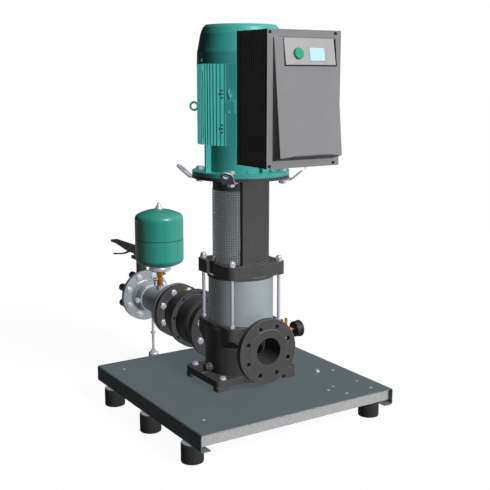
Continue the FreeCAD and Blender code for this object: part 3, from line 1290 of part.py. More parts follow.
def vessel_half(mouth_r, upper):
    """One pressed half of the vessel, with half of the seam's groove on its rim."""
    groove = 1.0 if upper else -1.0
    outer = dome_outline(0, mouth_r, upper)
    inner = dome_outline(VESSEL_WALL, mouth_r, upper)
    step = VESSEL_R - VESSEL_WALL / 2
    rim = [outer[4], V(VESSEL_R, 0, VESSEL_SEAM + groove), V(step, 0, VESSEL_SEAM + groove), V(step, 0, VESSEL_SEAM),
           V(VESSEL_R - VESSEL_WALL, 0, VESSEL_SEAM), inner[4]]
    edges = [Part.Arc(*outer[:3]).toShape(), Part.Arc(*outer[2:]).toShape()]
    edges += [Part.makeLine(near, far) for near, far in zip(rim, rim[1:])]
    edges += [Part.Arc(inner[4], inner[3], inner[2]).toShape(), Part.Arc(inner[2], inner[1], inner[0]).toShape()]
    edges.append(Part.makeLine(inner[0], outer[0]))
    half = Part.Face(Part.Wire(edges)).revolve(V(0, 0, 0), V(0, 0, 1), 360)
    half.translate(V(0, SOCKET_Y, 0))
    return half


def vessel_shells():
    """Upper and lower steel shells, which meet in a rolled seam."""
    return Part.makeCompound([vessel_half(0, True), vessel_half(9.4, False)])


def vessel_membrane():
    """Rubber diaphragm clamped at the seam and hanging into the lower shell."""
    r = VESSEL_R - VESSEL_WALL - LOOSE_FIT
    y = SOCKET_Y
    top = VESSEL_SEAM - 2
    profile = [(0, 462), (60, 462), (84, 474), (r - 6, 500), (r - 6, top - 4), (r, top - 4), (r, top), (r - 8, top),
               (r - 8, 502), (82, 477), (58, 465), (0, 465)]
    return spun_z(profile, 0, y)


def vessel_fittings():
    """Connection flange under the vessel and the conical cap over its air valve."""
    y = SOCKET_Y
    low = VESSEL_LOW - 13
    flange = spun_z([(9.3, low), (43, low), (47, low + 3), (47, low + 7), (40, low + 12), (36, low + 21),
                     (9.3, low + 21)], 0, y)
    flange = flange.cut(Part.makeSphere(CROWN_R + SLIDE_FIT, V(0, y, VESSEL_LOW + CROWN_R)))
    cap = spun_z([(0, VESSEL_TOP - 3), (17, VESSEL_TOP - 3), (17, VESSEL_TOP), (4, VESSEL_TOP + 24),
                  (2, VESSEL_TOP + 26), (0, VESSEL_TOP + 26)], 0, y)
    cap = cap.cut(Part.makeSphere(CROWN_R + SLIDE_FIT, V(0, y, VESSEL_TOP - CROWN_R)))
    return Part.makeCompound([flange, cap])


def vessel_tap():
    """Brass flow fitting between pipe socket and vessel, with a drain knob and a shut-off pin."""
    y = SOCKET_Y
    z = PORT_Z + PIPE_R + 14
    column = spun_z([(5, z - 12), (10, z - 12), (10, z), (13, z), (13, z + 5), (11, z + 6), (11, z + 24),
                     (14.5, z + 26), (14.5, z + 31), (11.5, z + 33), (11.5, z + 44), (14, z + 46), (14, z + 58),
                     (9, z + 60), (9, VESSEL_LOW + 6), (5, VESSEL_LOW + 6)], 0, y)
    nut = hexagon(24, V(0, y, z + 8), V(0, 0, 1), 12).cut(cyl_z(8, z, z + 30, 0, y))
    side_knob = spun_x([(0, 10), (5, 10), (5, 16), (8, 17), (8, 24), (6, 26), (0, 26)], y, z + 52)
    drain = spun_x([(0, -10), (6, -10), (6, -22), (2.5, -22), (2.5, -29), (0, -29)], y, z + 29)
    fitting = joined([column, nut, side_knob, drain])
    return fitting.cut(cyl_z(5, z - 13, VESSEL_LOW + 7, 0, y))


def tap_handle():
    """Quarter-turn handle on the fitting's drain."""
    y = SOCKET_Y
    z = PORT_Z + PIPE_R + 43
    hub = cyl_x(6.5, -28.5, -22.5, y, z)
    bar = rounded_block(-27.5, -24, y - 4.5, y + 4.5, z - 27, z, 2, V(1, 0, 0))
    return joined([hub, bar]).cut(cyl_x(2.5 + SLIDE_FIT, -30, -20, y, z))


# Gauge

def gauge_cock():
    """Brass cock between casing and gauge, with the spindle pin of its handle."""
    z = PORT_Z
    body = spun_x([(4, 122), (9, 122), (9, 140), (13, 140), (13, 150), (8, 151), (8, COCK_X - 12), (12, COCK_X - 9),
                   (12, COCK_X + 9), (8, COCK_X + 12), (8, 212), (11.5, 213), (11.5, 224), (6, 226),
                   (6, GAUGE_BACK_X + 6), (4, GAUGE_BACK_X + 6)], 0, z)
    bonnet = joined([cyl_y(7, -14, 0, COCK_X, z), cyl_y(2.5, -21, -13, COCK_X, z)])
    return joined([body, bonnet.cut(cyl_x(6, 150, 230, 0, z))])


def cock_handle():
    """Lever handle of the gauge cock, upright at rest, wider towards its rounded end."""
    z = PORT_Z
    hub = cyl_y(7, -20, -14 - LOOSE_FIT, COCK_X, z)
    y0 = -19.5
    width = 4.0
    end = z + 50
    bar = extruded([V(COCK_X - 4, y0, z), V(COCK_X + 4, y0, z), V(COCK_X + 6, y0, end), V(COCK_X - 6, y0, end)],
                   V(0, width, 0))
    tip = cyl_y(6, y0, y0 + width, COCK_X, end)
    return joined([hub, bar, tip]).cut(cyl_y(2.5 + SLIDE_FIT, -30, -10, COCK_X, z))


def gauge_case():
    """Round gauge case facing +X, hollow behind its dial, with the needle's pivot pin."""
    x = GAUGE_BACK_X
    r = GAUGE_R
    front = x + GAUGE_DEPTH
    shell = spun_x([(6.2, x), (r - 6, x), (r - 2, x + 3), (r - 2, front - 8), (r, front - 7), (r, front), (r - 3, front),
                    (r - 3, front - 8), (1.5, front - 8), (1.5, front - 12), (r - 5, front - 12), (r - 5, x + 4),
                    (6.2, x + 4)], 0, PORT_Z)
    pin = cyl_x(1.5, front - 12, front - 4, 0, PORT_Z)
    return joined([shell, pin])


def gauge_glass():
    """Clear front of the gauge."""
    front = GAUGE_BACK_X + GAUGE_DEPTH
    return cyl_x(GAUGE_R - 3 - LOOSE_FIT, front - 3, front - 1, 0, PORT_Z)


def gauge_needle():
    """Needle at the zero mark, low on the left of the dial as read from the front."""
    x = GAUGE_BACK_X + GAUGE_DEPTH - 7
    z = PORT_Z
    blade = extruded([V(x, 0, z - 1.8), V(x, 0, z + 1.8), V(x, 22, z + 0.4), V(x, 22, z - 0.4)], V(1, 0, 0))
    tail = block(x, x + 1, -8, 0, z - 1.5, z + 1.5)
    hub = cyl_x(3.5, x - 0.5, x + 1.5, 0, z)
    needle = joined([blade, tail, hub]).cut(cyl_x(1.5 + SLIDE_FIT, x - 5, x + 5, 0, z))
    return turned(needle, 225, V(1, 0, 0), V(0, 0, z))


NODES = {
    "base_plate": base_plate,
    "end_skirts": end_skirts,
    "rubber_feet": rubber_feet,
    "base_bolts": base_bolts,
    "pump_casing": pump_casing,
    "casing_plugs": casing_plugs,
    "outer_sleeve": outer_sleeve,
    "stage_bowls": stage_bowls,
    "impellers": impellers,
    "pump_shaft": pump_shaft,
    "shaft_seal": shaft_seal,
    "tie_rods": tie_rods,
    "tie_rod_nuts": tie_rod_nuts,
    "lantern": lantern,
    "coupling": coupling,
    "guard_right": lambda: guard(1),
    "guard_left": lambda: guard(-1),
    "lifting_lugs": lifting_lugs,
    "motor_bolts": motor_bolts,
    "motor_end_shields": motor_end_shields,
    "motor_frame": motor_frame,
    "stator_core": stator_core,
    "motor_rotor": motor_rotor,
    "motor_bearings": motor_bearings,
    "cooling_fan": cooling_fan,
    "fan_cover": fan_cover,
    "motor_eyes": motor_eyes,
    "inverter_adapter": inverter_adapter,
    "inverter_housing": inverter_housing,
    "inverter_cover": inverter_cover,
    "control_panel": control_panel,
    "display_window": display_window,
    "knob_spindle": knob_spindle,
    "control_knob": control_knob,
    "cover_screws": cover_screws,
    "check_inlet_body": check_inlet_body,
    "check_outlet_body": check_outlet_body,
    "check_ring_bolts": check_ring_bolts,
    "check_disc": check_disc,
    "check_spring": check_spring,
    "check_plug": check_plug,
    "discharge_pipe": discharge_pipe,
    "flange_gaskets": flange_gaskets,
    "flange_bolts": flange_bolts,
    "pipe_support": pipe_support,
    "butterfly_body": butterfly_body,
    "butterfly_liner": butterfly_liner,
    "butterfly_disc": butterfly_disc,
    "valve_lever": valve_lever,
    "lever_trigger": lever_trigger,
    "vessel_shells": vessel_shells,
    "vessel_membrane": vessel_membrane,
    "vessel_fittings": vessel_fittings,
    "vessel_tap": vessel_tap,
    "tap_handle": tap_handle,
    "gauge_cock": gauge_cock,
    "cock_handle": cock_handle,
    "gauge_case": gauge_case,
    "gauge_glass": gauge_glass,
    "gauge_needle": gauge_needle,
}

os.makedirs("parts", exist_ok=True)
for node, make in NODES.items():
    piece = make()
    piece.translate(V(-MID_X, -MID_Y, 0))
    piece.exportStep("parts/" + node + ".step")
    print(node, "solids", len(piece.Solids), "volume", round(piece.Volume))
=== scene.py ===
"""Looks of a single-pump booster set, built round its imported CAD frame.

Sizes in the classes are millimetres in the maker's layout: the pump shaft stands on
x = 0, y = 0, the floor is z = 0 and the pipework runs along +Y.  Form.piece() turns
them into metres in the row frame.
"""
import json
import logging
import math
from dataclasses import dataclass, field
from enum import Enum
from typing import Iterable, Sequence

import bmesh
import bpy
from mathutils import Matrix, Vector


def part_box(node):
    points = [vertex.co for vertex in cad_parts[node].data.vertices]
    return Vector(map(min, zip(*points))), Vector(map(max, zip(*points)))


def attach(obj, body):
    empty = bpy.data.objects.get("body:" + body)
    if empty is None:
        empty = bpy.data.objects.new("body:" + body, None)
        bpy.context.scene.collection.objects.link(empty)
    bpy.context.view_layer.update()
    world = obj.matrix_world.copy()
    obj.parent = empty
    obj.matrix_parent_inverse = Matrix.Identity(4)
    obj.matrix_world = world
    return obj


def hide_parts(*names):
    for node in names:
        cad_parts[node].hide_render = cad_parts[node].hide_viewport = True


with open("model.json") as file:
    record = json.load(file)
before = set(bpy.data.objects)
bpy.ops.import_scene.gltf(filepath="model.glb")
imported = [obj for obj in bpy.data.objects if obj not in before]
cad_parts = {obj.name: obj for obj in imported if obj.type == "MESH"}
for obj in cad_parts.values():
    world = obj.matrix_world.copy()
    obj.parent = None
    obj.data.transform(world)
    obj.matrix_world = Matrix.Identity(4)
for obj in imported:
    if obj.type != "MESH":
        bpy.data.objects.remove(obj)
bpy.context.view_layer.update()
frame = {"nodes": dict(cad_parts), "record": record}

LOG = logging.getLogger("booster_set")
MM = 0.001
ROOT = "set"
UP = Vector((0, 0, 1))
ALONG = Vector((0, 1, 0))
ACROSS = Vector((1, 0, 0))
SHARP_ANGLE = 32.0
# Shares of a full turn, in degrees.
QUARTER = 90
EIGHTH = 45
Profile = Sequence[tuple[float, float]]
Tree = bpy.types.NodeTree
Socket = bpy.types.NodeSocket
WHITE = (1.0, 1.0, 1.0, 1.0)


class Slot(Enum):
    """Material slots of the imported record."""
    SLATE_PAINT = "slate_paint"
    ZINC_SHEET = "zinc_sheet"
    FOOT_RUBBER = "foot_rubber"
    BLACK_CASTING = "black_casting"
    STAINLESS = "stainless"
    ZINC_FASTENER = "zinc_fastener"
    MACHINED_STEEL = "machined_steel"
    MOTOR_PAINT = "motor_paint"
    WINDING_CORE = "winding_core"
    FAN_PLASTIC = "fan_plastic"
    DARK_HOUSING = "dark_housing"
    GREY_COVER = "grey_cover"
    PANEL_GREY = "panel_grey"
    DISPLAY_GLASS = "display_glass"
    KNOB_GREEN = "knob_green"
    BRASS_PARTS = "brass_parts"
    SEAL_RUBBER = "seal_rubber"
    VESSEL_PAINT = "vessel_paint"
    GAUGE_BLACK = "gauge_black"
    GAUGE_PANE = "gauge_pane"
    NEEDLE_BLACK = "needle_black"
    LEVER_PAINT = "lever_paint"


def linear(colour: str) -> tuple[float, float, float, float]:
    """Turns an sRGB hex colour into Blender's linear values.

    Args:
        colour: Hex text such as "5a6264".

    Returns:
        Red, green, blue and an alpha of one.
    """
    shares = [int(colour[at:at + 2], 16) / 255 for at in (0, 2, 4)]
    made = [s / 12.92 if s <= 0.04045 else ((s + 0.055) / 1.055) ** 2.4 for s in shares]
    return (*made, 1.0)


def add_node(tree: Tree, kind: str, inputs: dict | None = None, **settings: object) -> bpy.types.Node:
    """Adds one shader node with its settings and links.

    Args:
        tree: The node tree that gets the node.
        kind: Blender's type name of the node.
        inputs: Values or output sockets by input name or number.
        settings: Properties of the node itself.

    Returns:
        The new node.
    """
    made = tree.nodes.new(kind)
    for name, value in settings.items():
        setattr(made, name, value)
    for name, value in (inputs or {}).items():
        if isinstance(value, bpy.types.NodeSocket):
            tree.links.new(value, made.inputs[name])
        else:
            made.inputs[name].default_value = value
    return made


def bare_tree(owner: bpy.types.Material | bpy.types.World) -> Tree:
    """Empties the node tree of a material or a world.

    Args:
        owner: The material or world.

    Returns:
        Its node tree.
    """
    owner.use_nodes = True
    owner.node_tree.nodes.clear()
    return owner.node_tree


def per_metre(size: float) -> float:
    """Texture scale that gives a pattern of a size in millimetres."""
    return 1.0 / (size * MM)


@dataclass(frozen=True)
class Ground:
    """What a finish draws its pattern on.

    Attributes:
        tree: The material's node tree.
        shader: Its Principled shader.
        place: Object coordinates, in metres.
        rounded: Normal that softens sharp edges.
    """
    tree: Tree
    shader: bpy.types.Node
    place: Socket
    rounded: Socket

    def feed(self, **sockets: Socket) -> None:
        """Links sockets to the shader's inputs, named with _ for a space."""
        for name, value in sockets.items():
            self.tree.links.new(value, self.shader.inputs[name.replace("_", " ")])

    def edge_tone(self, colour: Socket, edge_wear_and_highlight: str) -> Socket:
        """Lightens sharp edges, partly as wear where paint lies thin and partly as a painted highlight along
        them.

        Args:
            colour: Colour of the plain surface.
            edge_wear_and_highlight: Hex colour of the edges, with wear and a painted highlight.

        Returns:
            The colour with its edges toned.
        """
        # Cosines between the true and the rounded normal, where the tone starts and where it is full.
        start, full = 0.995, 0.86
        flat = add_node(self.tree, "ShaderNodeNewGeometry").outputs["Normal"]
        turn = add_node(self.tree, "ShaderNodeVectorMath", {0: self.rounded, 1: flat},
                        operation="DOT_PRODUCT")
        share = add_node(self.tree, "ShaderNodeMapRange", {"Value": turn.outputs["Value"],
                                                           "From Min": start, "From Max": full})
        mixed = add_node(self.tree, "ShaderNodeMix", {"Factor": share.outputs["Result"], "A": colour,
                                                      "B": linear(edge_wear_and_highlight)}, data_type="RGBA")
        return mixed.outputs["Result"]


@dataclass(frozen=True)
class Finish:
    """A surface finish; each subclass draws its own pattern.

    Attributes:
        name: Name of the material.
        colour: Hex colour of its first tone.
        roughness: Its roughness, or the middle of it.
        metallic: Share of metal.
        specular: Strength of the gloss of what isn't metal.
        coat: Share of a clear coat.
        coat_roughness: Roughness of that coat.
        edge: Radius in millimetres that sharp edges seem to have.
    """
    name: str
    colour: str
    roughness: float
    metallic: float = 0.0
    specular: float = 0.5
    coat: float = 0.0
    coat_roughness: float = 0.08
    edge: float = 0.8

    def material(self) -> bpy.types.Material:
        """Makes the Blender material on first use.

        Returns:
            The material of this finish.
        """
        known = bpy.data.materials.get(self.name)
        if known:
            return known
        made = bpy.data.materials.new(self.name)
        tree = bare_tree(made)
        shader = add_node(tree, "ShaderNodeBsdfPrincipled", {
            "Base Color": linear(self.colour), "Roughness": self.roughness, "Metallic": self.metallic,
            "Specular IOR Level": self.specular, "Coat Weight": self.coat,
            "Coat Roughness": self.coat_roughness})
        add_node(tree, "ShaderNodeOutputMaterial", {"Surface": shader.outputs["BSDF"]})
        place = add_node(tree, "ShaderNodeTexCoord").outputs["Object"]
        bevel = add_node(tree, "ShaderNodeBevel", {"Radius": self.edge * MM}, samples=4)
        self.pattern(Ground(tree, shader, place, bevel.outputs["Normal"]))
        return made

    def pattern(self, ground: Ground) -> None:
        """Draws the finish's own pattern."""
        raise NotImplementedError


@dataclass(frozen=True)
class Grained(Finish):
    """Paint, plastic or rubber with a fine grain and a slow change of tone.

    Attributes:
        tone: Hex colour of its second tone.
        grain: Size of the grain in millimetres; a finer one is drawn this coarse, so that it shows.
        depth: Height of the grain in millimetres.
        patch: Size of the patches of tone in millimetres.
        edge_wear_and_highlight: Hex colour of sharp edges, where they differ.
        uneven: How far the roughness strays to both sides.
        relief: Strength of the bump.
    """
    tone: str = "000000"
    grain: float = 3.0
    depth: float = 0.1
    patch: float = 70.0
    # edge_wear_and_highlight: Hex colour of sharp edges, lighter from wear and as a painted highlight, where
    # they differ.
    edge_wear_and_highlight: str = ""
    uneven: float = 0.06
    relief: float = 0.5

    def pattern(self, ground: Ground) -> None:
        """Mixes two tones in patches, dulls them unevenly and raises the grain.

        Args:
            ground: What it draws on.
        """
        tree, place = ground.tree, ground.place
        patches = add_node(tree, "ShaderNodeTexNoise", {"Vector": place, "Scale": per_metre(self.patch),
                                                        "Detail": 4.0})
        grains = add_node(tree, "ShaderNodeTexNoise", {"Vector": place, "Scale": per_metre(self.grain),
                                                       "Detail": 3.0}).outputs["Fac"]
        mixed = add_node(tree, "ShaderNodeMix", {"Factor": patches.outputs["Fac"], "A": linear(self.colour),
                                                 "B": linear(self.tone)}, data_type="RGBA")
        colour = mixed.outputs["Result"]
        # Sharp edges take a lighter colour: partly wear, partly a painted highlight.
        if self.edge_wear_and_highlight:
            colour = ground.edge_tone(colour, self.edge_wear_and_highlight)
        dull = add_node(tree, "ShaderNodeMapRange", {"Value": grains, "To Min": self.roughness - self.uneven,
                                                     "To Max": self.roughness + self.uneven})
        bump = add_node(tree, "ShaderNodeBump", {"Height": grains, "Strength": self.relief,
                                                 "Distance": self.depth * MM, "Normal": ground.rounded})
        ground.feed(Base_Color=colour, Roughness=dull.outputs["Result"], Normal=bump.outputs["Normal"])


@dataclass(frozen=True)
class Spangled(Finish):
    """Hot-dip galvanised sheet, with crystals of zinc that differ in tone.

    Attributes:
        tone: Hex colour of the second tone.
        crystal: Size of a crystal in millimetres.
        uneven: How far the roughness strays to both sides.
    """
    tone: str = "97999c"
    crystal: float = 11.0
    uneven: float = 0.1

    def pattern(self, ground: Ground) -> None:
        """Gives each crystal its own tone and gloss.

        Args:
            ground: What it draws on.
        """
        tree = ground.tree
        cells = add_node(tree, "ShaderNodeTexVoronoi", {"Vector": ground.place,
                                                        "Scale": per_metre(self.crystal)})
        parts = add_node(tree, "ShaderNodeSeparateColor", {"Color": cells.outputs["Color"]})
        share = parts.outputs["Red"]
        mixed = add_node(tree, "ShaderNodeMix", {"Factor": share, "A": linear(self.colour),
                                                 "B": linear(self.tone)}, data_type="RGBA")
        dull = add_node(tree, "ShaderNodeMapRange", {"Value": share, "To Min": self.roughness - self.uneven,
                                                     "To Max": self.roughness + self.uneven})
        ground.feed(Base_Color=mixed.outputs["Result"], Roughness=dull.outputs["Result"],
                    Normal=ground.rounded)


@dataclass(frozen=True)
class Lined(Finish):
    """Metal with fine lines left by rolling, brushing or turning.

    Attributes:
        tone: Hex colour of the second tone.
        run: How far a line runs along each axis, in millimetres; real lines lie a tenth of a
            millimetre apart and are drawn coarser, so that they show.
        depth: Height of the lines in millimetres.
        uneven: How far the roughness strays to both sides.
        relief: Strength of the bump.
    """
    tone: str = "8a9094"
    run: tuple[float, float, float] = (60.0, 60.0, 0.8)
    depth: float = 0.02
    uneven: float = 0.1
    relief: float = 0.4

    def pattern(self, ground: Ground) -> None:
        """Stretches a noise along the lines, and lets it change tone, gloss and height.

        Args:
            ground: What it draws on.
        """
        tree = ground.tree
        stretch = add_node(tree, "ShaderNodeMapping", {"Vector": ground.place,
                                                       "Scale": [per_metre(size) for size in self.run]})
        lines = add_node(tree, "ShaderNodeTexNoise", {"Vector": stretch.outputs["Vector"], "Scale": 1.0,
                                                      "Detail": 5.0}).outputs["Fac"]
        mixed = add_node(tree, "ShaderNodeMix", {"Factor": lines, "A": linear(self.colour),
                                                 "B": linear(self.tone)}, data_type="RGBA")
        dull = add_node(tree, "ShaderNodeMapRange", {"Value": lines, "To Min": self.roughness - self.uneven,
                                                     "To Max": self.roughness + self.uneven})
        bump = add_node(tree, "ShaderNodeBump", {"Height": lines, "Strength": self.relief,
                                                 "Distance": self.depth * MM, "Normal": ground.rounded})
        ground.feed(Base_Color=mixed.outputs["Result"], Roughness=dull.outputs["Result"],
                    Normal=bump.outputs["Normal"])


@dataclass(frozen=True)
class DotMatrix(Finish):
    """Lit liquid-crystal cell behind a glossy window, with a faint grid of dots.

    Attributes:
        tone: Hex colour between the dots.
        pitch: Distance from dot to dot in millimetres.
    """
    tone: str = "bde9f4"
    pitch: float = 1.2

    def pattern(self, ground: Ground) -> None:
        """Draws the dots with two crossed waves; a wave texture repeats every tau / 20 of its scale.

        Args:
            ground: What it draws on.
        """
        tree = ground.tree
        inputs = {"Vector": ground.place, "Scale": per_metre(self.pitch) * math.tau / 20.0}
        wide, high = (add_node(tree, "ShaderNodeTexWave", inputs, bands_direction=way) for way in "XZ")
        dots = add_node(tree, "ShaderNodeMath", {0: wide.outputs["Fac"], 1: high.outputs["Fac"]},
                        operation="MULTIPLY")
        mixed = add_node(tree, "ShaderNodeMix", {"Factor": dots.outputs["Value"], "A": linear(self.tone),
                                                 "B": linear(self.colour)}, data_type="RGBA")
        ground.feed(Base_Color=mixed.outputs["Result"], Normal=ground.rounded)


@dataclass(frozen=True)
class ClearPane(Finish):
    """Clear polycarbonate, faintly uneven from its mould.

    Attributes:
        index: Index of refraction.
        wave: Size of its unevenness in millimetres.
        depth: Height of the unevenness in millimetres.
        relief: Strength of the bump.
    """
    index: float = 1.58
    wave: float = 12.0
    depth: float = 0.02
    relief: float = 0.1

    def pattern(self, ground: Ground) -> None:
        """Lets light through and bends it a little unevenly.

        Args:
            ground: What it draws on.
        """
        waves = add_node(ground.tree, "ShaderNodeTexNoise", {"Vector": ground.place,
                                                             "Scale": per_metre(self.wave)})
        bump = add_node(ground.tree, "ShaderNodeBump", {"Height": waves.outputs["Fac"],
                                                        "Strength": self.relief, "Distance": self.depth * MM,
                                                        "Normal": ground.rounded})
        ground.shader.inputs["Transmission Weight"].default_value = 1.0
        ground.shader.inputs["IOR"].default_value = self.index
        ground.feed(Normal=bump.outputs["Normal"])


# Polyester powder on folded sheet: even slate grey, half dull, with an orange-peel skin of about
# 1 mm, drawn three times as coarse so that it shows.
POWDER_SLATE = Grained("powder_coated_slate_sheet", "6c787b", 0.55, specular=0.2, tone="667174", grain=3.0,
                       depth=0.05, edge_wear_and_highlight="7b8688")
# Hot-dip galvanised strip: pale grey with spangle about a centimetre across.
GALVANISED = Spangled("galvanised_strip", "b8b7b9", 0.5, metallic=0.2, tone="acabae")
# Natural rubber moulded in a steel tool: near black, dull, a fine grain.
MOULDED_RUBBER = Grained("moulded_natural_rubber", "303031", 0.72, specular=0.3, tone="272728", grain=1.5,
                         depth=0.08, edge_wear_and_highlight="4a4a4b")
# Grey iron, sand cast and dip coated: dark grey, the sand skin shows as a 2.5 mm pebble.
COATED_IRON = Grained("dip_coated_grey_iron", "4e4d4e", 0.5, specular=0.25, edge=1.6, tone="424142",
                      grain=2.5, depth=0.2, patch=40.0, edge_wear_and_highlight="8f8c8d")
# Stainless tube, rolled from brushed strip: bright, the brush lines run round it.
BRUSHED_STAINLESS = Lined("brushed_stainless_tube", "a9b3b6", 0.4, metallic=0.3, tone="9aa5a9",
                          run=(60.0, 60.0, 1.2))
# Steel, zinc plated and clear passivated: pale with a faint lavender cast, half bright.
ZINC_PLATED = Lined("zinc_plated_steel", "d2d2dc", 0.36, metallic=0.3, tone="babbc6", run=(5.0, 5.0, 2.0))
# Alloy steel screws, blackened in a hot salt bath and oiled: black, half dull.
BLACK_OXIDE = Grained("black_oxide_screw", "1c1c1e", 0.45, metallic=0.3, tone="141416", grain=1.0,
                      depth=0.02)
# Ground and turned shaft steel: fine rings round the axis. Bare weld beads and cut threads look alike.
TURNED_STEEL = Lined("turned_shaft_steel", "a5a6a8", 0.3, metallic=0.9, tone="8c8e90", run=(40.0, 40.0, 0.9))
# Aluminium castings under a two-pack enamel: teal, satin, the die skin is smooth.
TEAL_ENAMEL = Grained("teal_enamelled_aluminium", "47b1a9", 0.4, specular=0.4, tone="40a8a0", grain=2.0,
                      depth=0.06, edge_wear_and_highlight="74cfc7")
# Electrical sheet, stacked: brown varnish, the half-millimetre sheets show as lines, drawn coarser.
STACKED_SHEET = Lined("varnished_lamination_stack", "6b4a33", 0.5, metallic=0.3, tone="8a6a50",
                      run=(80.0, 80.0, 2.0))
# Polypropylene, injection moulded: black and dull.
MOULDED_POLYPROPYLENE = Grained("moulded_polypropylene", "1f1f20", 0.6, tone="262627", grain=2.0)
# Aluminium die casting under black powder: nearly black, fine texture.
BLACK_DIECAST = Grained("black_powder_diecasting", "121213", 0.55, specular=0.15, tone="0e0e0f", grain=1.8,
                        depth=0.08)
# ABS, injection moulded in an etched tool: mid grey, the etch reads as a grain of 1.4 mm.
ETCHED_ABS = Grained("etched_grey_abs", "919193", 0.5, specular=0.2, tone="88888a", grain=1.4, depth=0.05,
                     edge_wear_and_highlight="a5a5a6")
# The same ABS in light grey, with a finer etch.
PANEL_ABS = Grained("light_grey_abs", "aeaeaf", 0.42, specular=0.4, tone="a6a6a7", grain=1.2, depth=0.04)
# Liquid-crystal cell behind acrylic: pale cyan, glossy front.
LCD_WINDOW = DotMatrix("lit_display_window", "c8f1fa", 0.2, coat=1.0, edge=0.3)
# ABS knob moulded in green, polished by fingers.
GREEN_ABS = Grained("green_abs_knob", "00a37f", 0.35, tone="009474", grain=2.0, depth=0.04, edge_wear_and_highlight="27b595")
# Free-cutting brass, turned: warm yellow with rings from the tool.
TURNED_BRASS = Lined("turned_brass", "c9974a", 0.3, metallic=0.85, tone="b07e36", run=(3.0, 3.0, 1.0))
# Nitrile rubber, pressed: black, dull.
NITRILE = Grained("pressed_nitrile", "202021", 0.65, specular=0.3, tone="29292a", grain=1.5)
# Deep-drawn steel under gloss powder: dark teal with a long-waved orange peel.
GLOSS_TEAL = Grained("gloss_teal_powder", "34a08c", 0.3, tone="2f9884", grain=7.0, depth=0.03)
# The same powder in the rolled groove of the seam, darker as painted shade in the groove.
SEAM_SHADE = Grained("shaded_seam_powder", "0f5f50", 0.6, tone="0c4d42", grain=3.0)
# Pressed steel case under black enamel: smooth, half bright.
CASE_ENAMEL = Grained("black_enamelled_case", "1a1a1b", 0.33, tone="202021", grain=3.0, depth=0.03,
                      edge_wear_and_highlight="3d3d3e")
# Polycarbonate front, clear and polished.
CLEAR_FRONT = ClearPane("clear_polycarbonate", "f4f8f8", 0.03)
# Aluminium strip, printed matt black.
MATT_BLACK = Grained("matt_black_strip", "101010", 0.6, tone="181818", grain=2.0)
# Ductile iron under thick black enamel: smooth, its edges paler where hands rub them and as a painted
# highlight.
LEVER_ENAMEL = Grained("black_enamelled_lever", "232324", 0.42, tone="1d1d1e", grain=2.5, depth=0.08,
                       edge_wear_and_highlight="4f4f50")
# White enamelled tin of a gauge dial.
DIAL_WHITE = Grained("white_enamelled_dial", "f0f0ec", 0.4, tone="e8e8e4", grain=3.0, depth=0.02)

FINISHES = {
    Slot.SLATE_PAINT: POWDER_SLATE, Slot.ZINC_SHEET: GALVANISED, Slot.FOOT_RUBBER: MOULDED_RUBBER,
    Slot.BLACK_CASTING: COATED_IRON, Slot.STAINLESS: BRUSHED_STAINLESS, Slot.ZINC_FASTENER: ZINC_PLATED,
    Slot.MACHINED_STEEL: TURNED_STEEL, Slot.MOTOR_PAINT: TEAL_ENAMEL, Slot.WINDING_CORE: STACKED_SHEET,
    Slot.FAN_PLASTIC: MOULDED_POLYPROPYLENE, Slot.DARK_HOUSING: BLACK_DIECAST, Slot.GREY_COVER: ETCHED_ABS,
    Slot.PANEL_GREY: PANEL_ABS, Slot.DISPLAY_GLASS: LCD_WINDOW, Slot.KNOB_GREEN: GREEN_ABS,
    Slot.BRASS_PARTS: TURNED_BRASS, Slot.SEAL_RUBBER: NITRILE, Slot.VESSEL_PAINT: GLOSS_TEAL,
    Slot.GAUGE_BLACK: CASE_ENAMEL, Slot.GAUGE_PANE: CLEAR_FRONT, Slot.NEEDLE_BLACK: MATT_BLACK,
    Slot.LEVER_PAINT: LEVER_ENAMEL,
}


def shaft_axis() -> Vector:
    """Foot of the pump shaft's axis in the row frame, in metres."""
    low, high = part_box("pump_shaft")
    return Vector(((low.x + high.x) / 2, (low.y + high.y) / 2, 0))


AXIS = shaft_axis()
NODE_SLOTS = {part["node"]: Slot(part["material_slot"]) for part in frame["record"]["subparts"]}


def dress_node(node: str, finish: Finish) -> None:
    """Gives a CAD node its finish."""
    frame["nodes"][node].data.materials.clear()
    frame["nodes"][node].data.materials.append(finish.material())


def at(x: float, y: float, z: float, way: Vector = UP, turn: float = 0.0) -> Matrix:
    """Place of a piece that was drawn on the upright axis.

    Args:
        x: Sideways place.
        y: Place along the pipework.
        z: Height.
        way: Direction that the piece's own up axis takes.
        turn: Turn about its own up axis, in degrees.

    Returns:
        The matrix that moves the piece there.
    """
    lean = UP.rotation_difference(way).to_matrix().to_4x4()
    return Matrix.Translation((x, y, z)) @ lean @ Matrix.Rotation(math.radians(turn), 4, "Z")


def spoke(reach: float, degrees: float) -> tuple[float, float]:
    """Point of a circle round the origin, at an angle from the first axis."""
    return reach * math.cos(math.radians(degrees)), reach * math.sin(math.radians(degrees))


def corners(reach_x: float, reach_y: float) -> list[tuple[float, float]]:
    """The four points that lie this far to either side of both axes."""
    return [(sx * reach_x, sy * reach_y) for sx in (-1, 1) for sy in (-1, 1)]


def stand(name: str, data: bpy.types.ID) -> bpy.types.Object:
    """Makes an object of some data and puts it into the scene.

    Args:
        name: Name of the object.
        data: Its mesh, curve, lamp or camera.

    Returns:
        The object.
    """
    made = bpy.data.objects.new(name, data)
    bpy.context.scene.collection.objects.link(made)
    return made


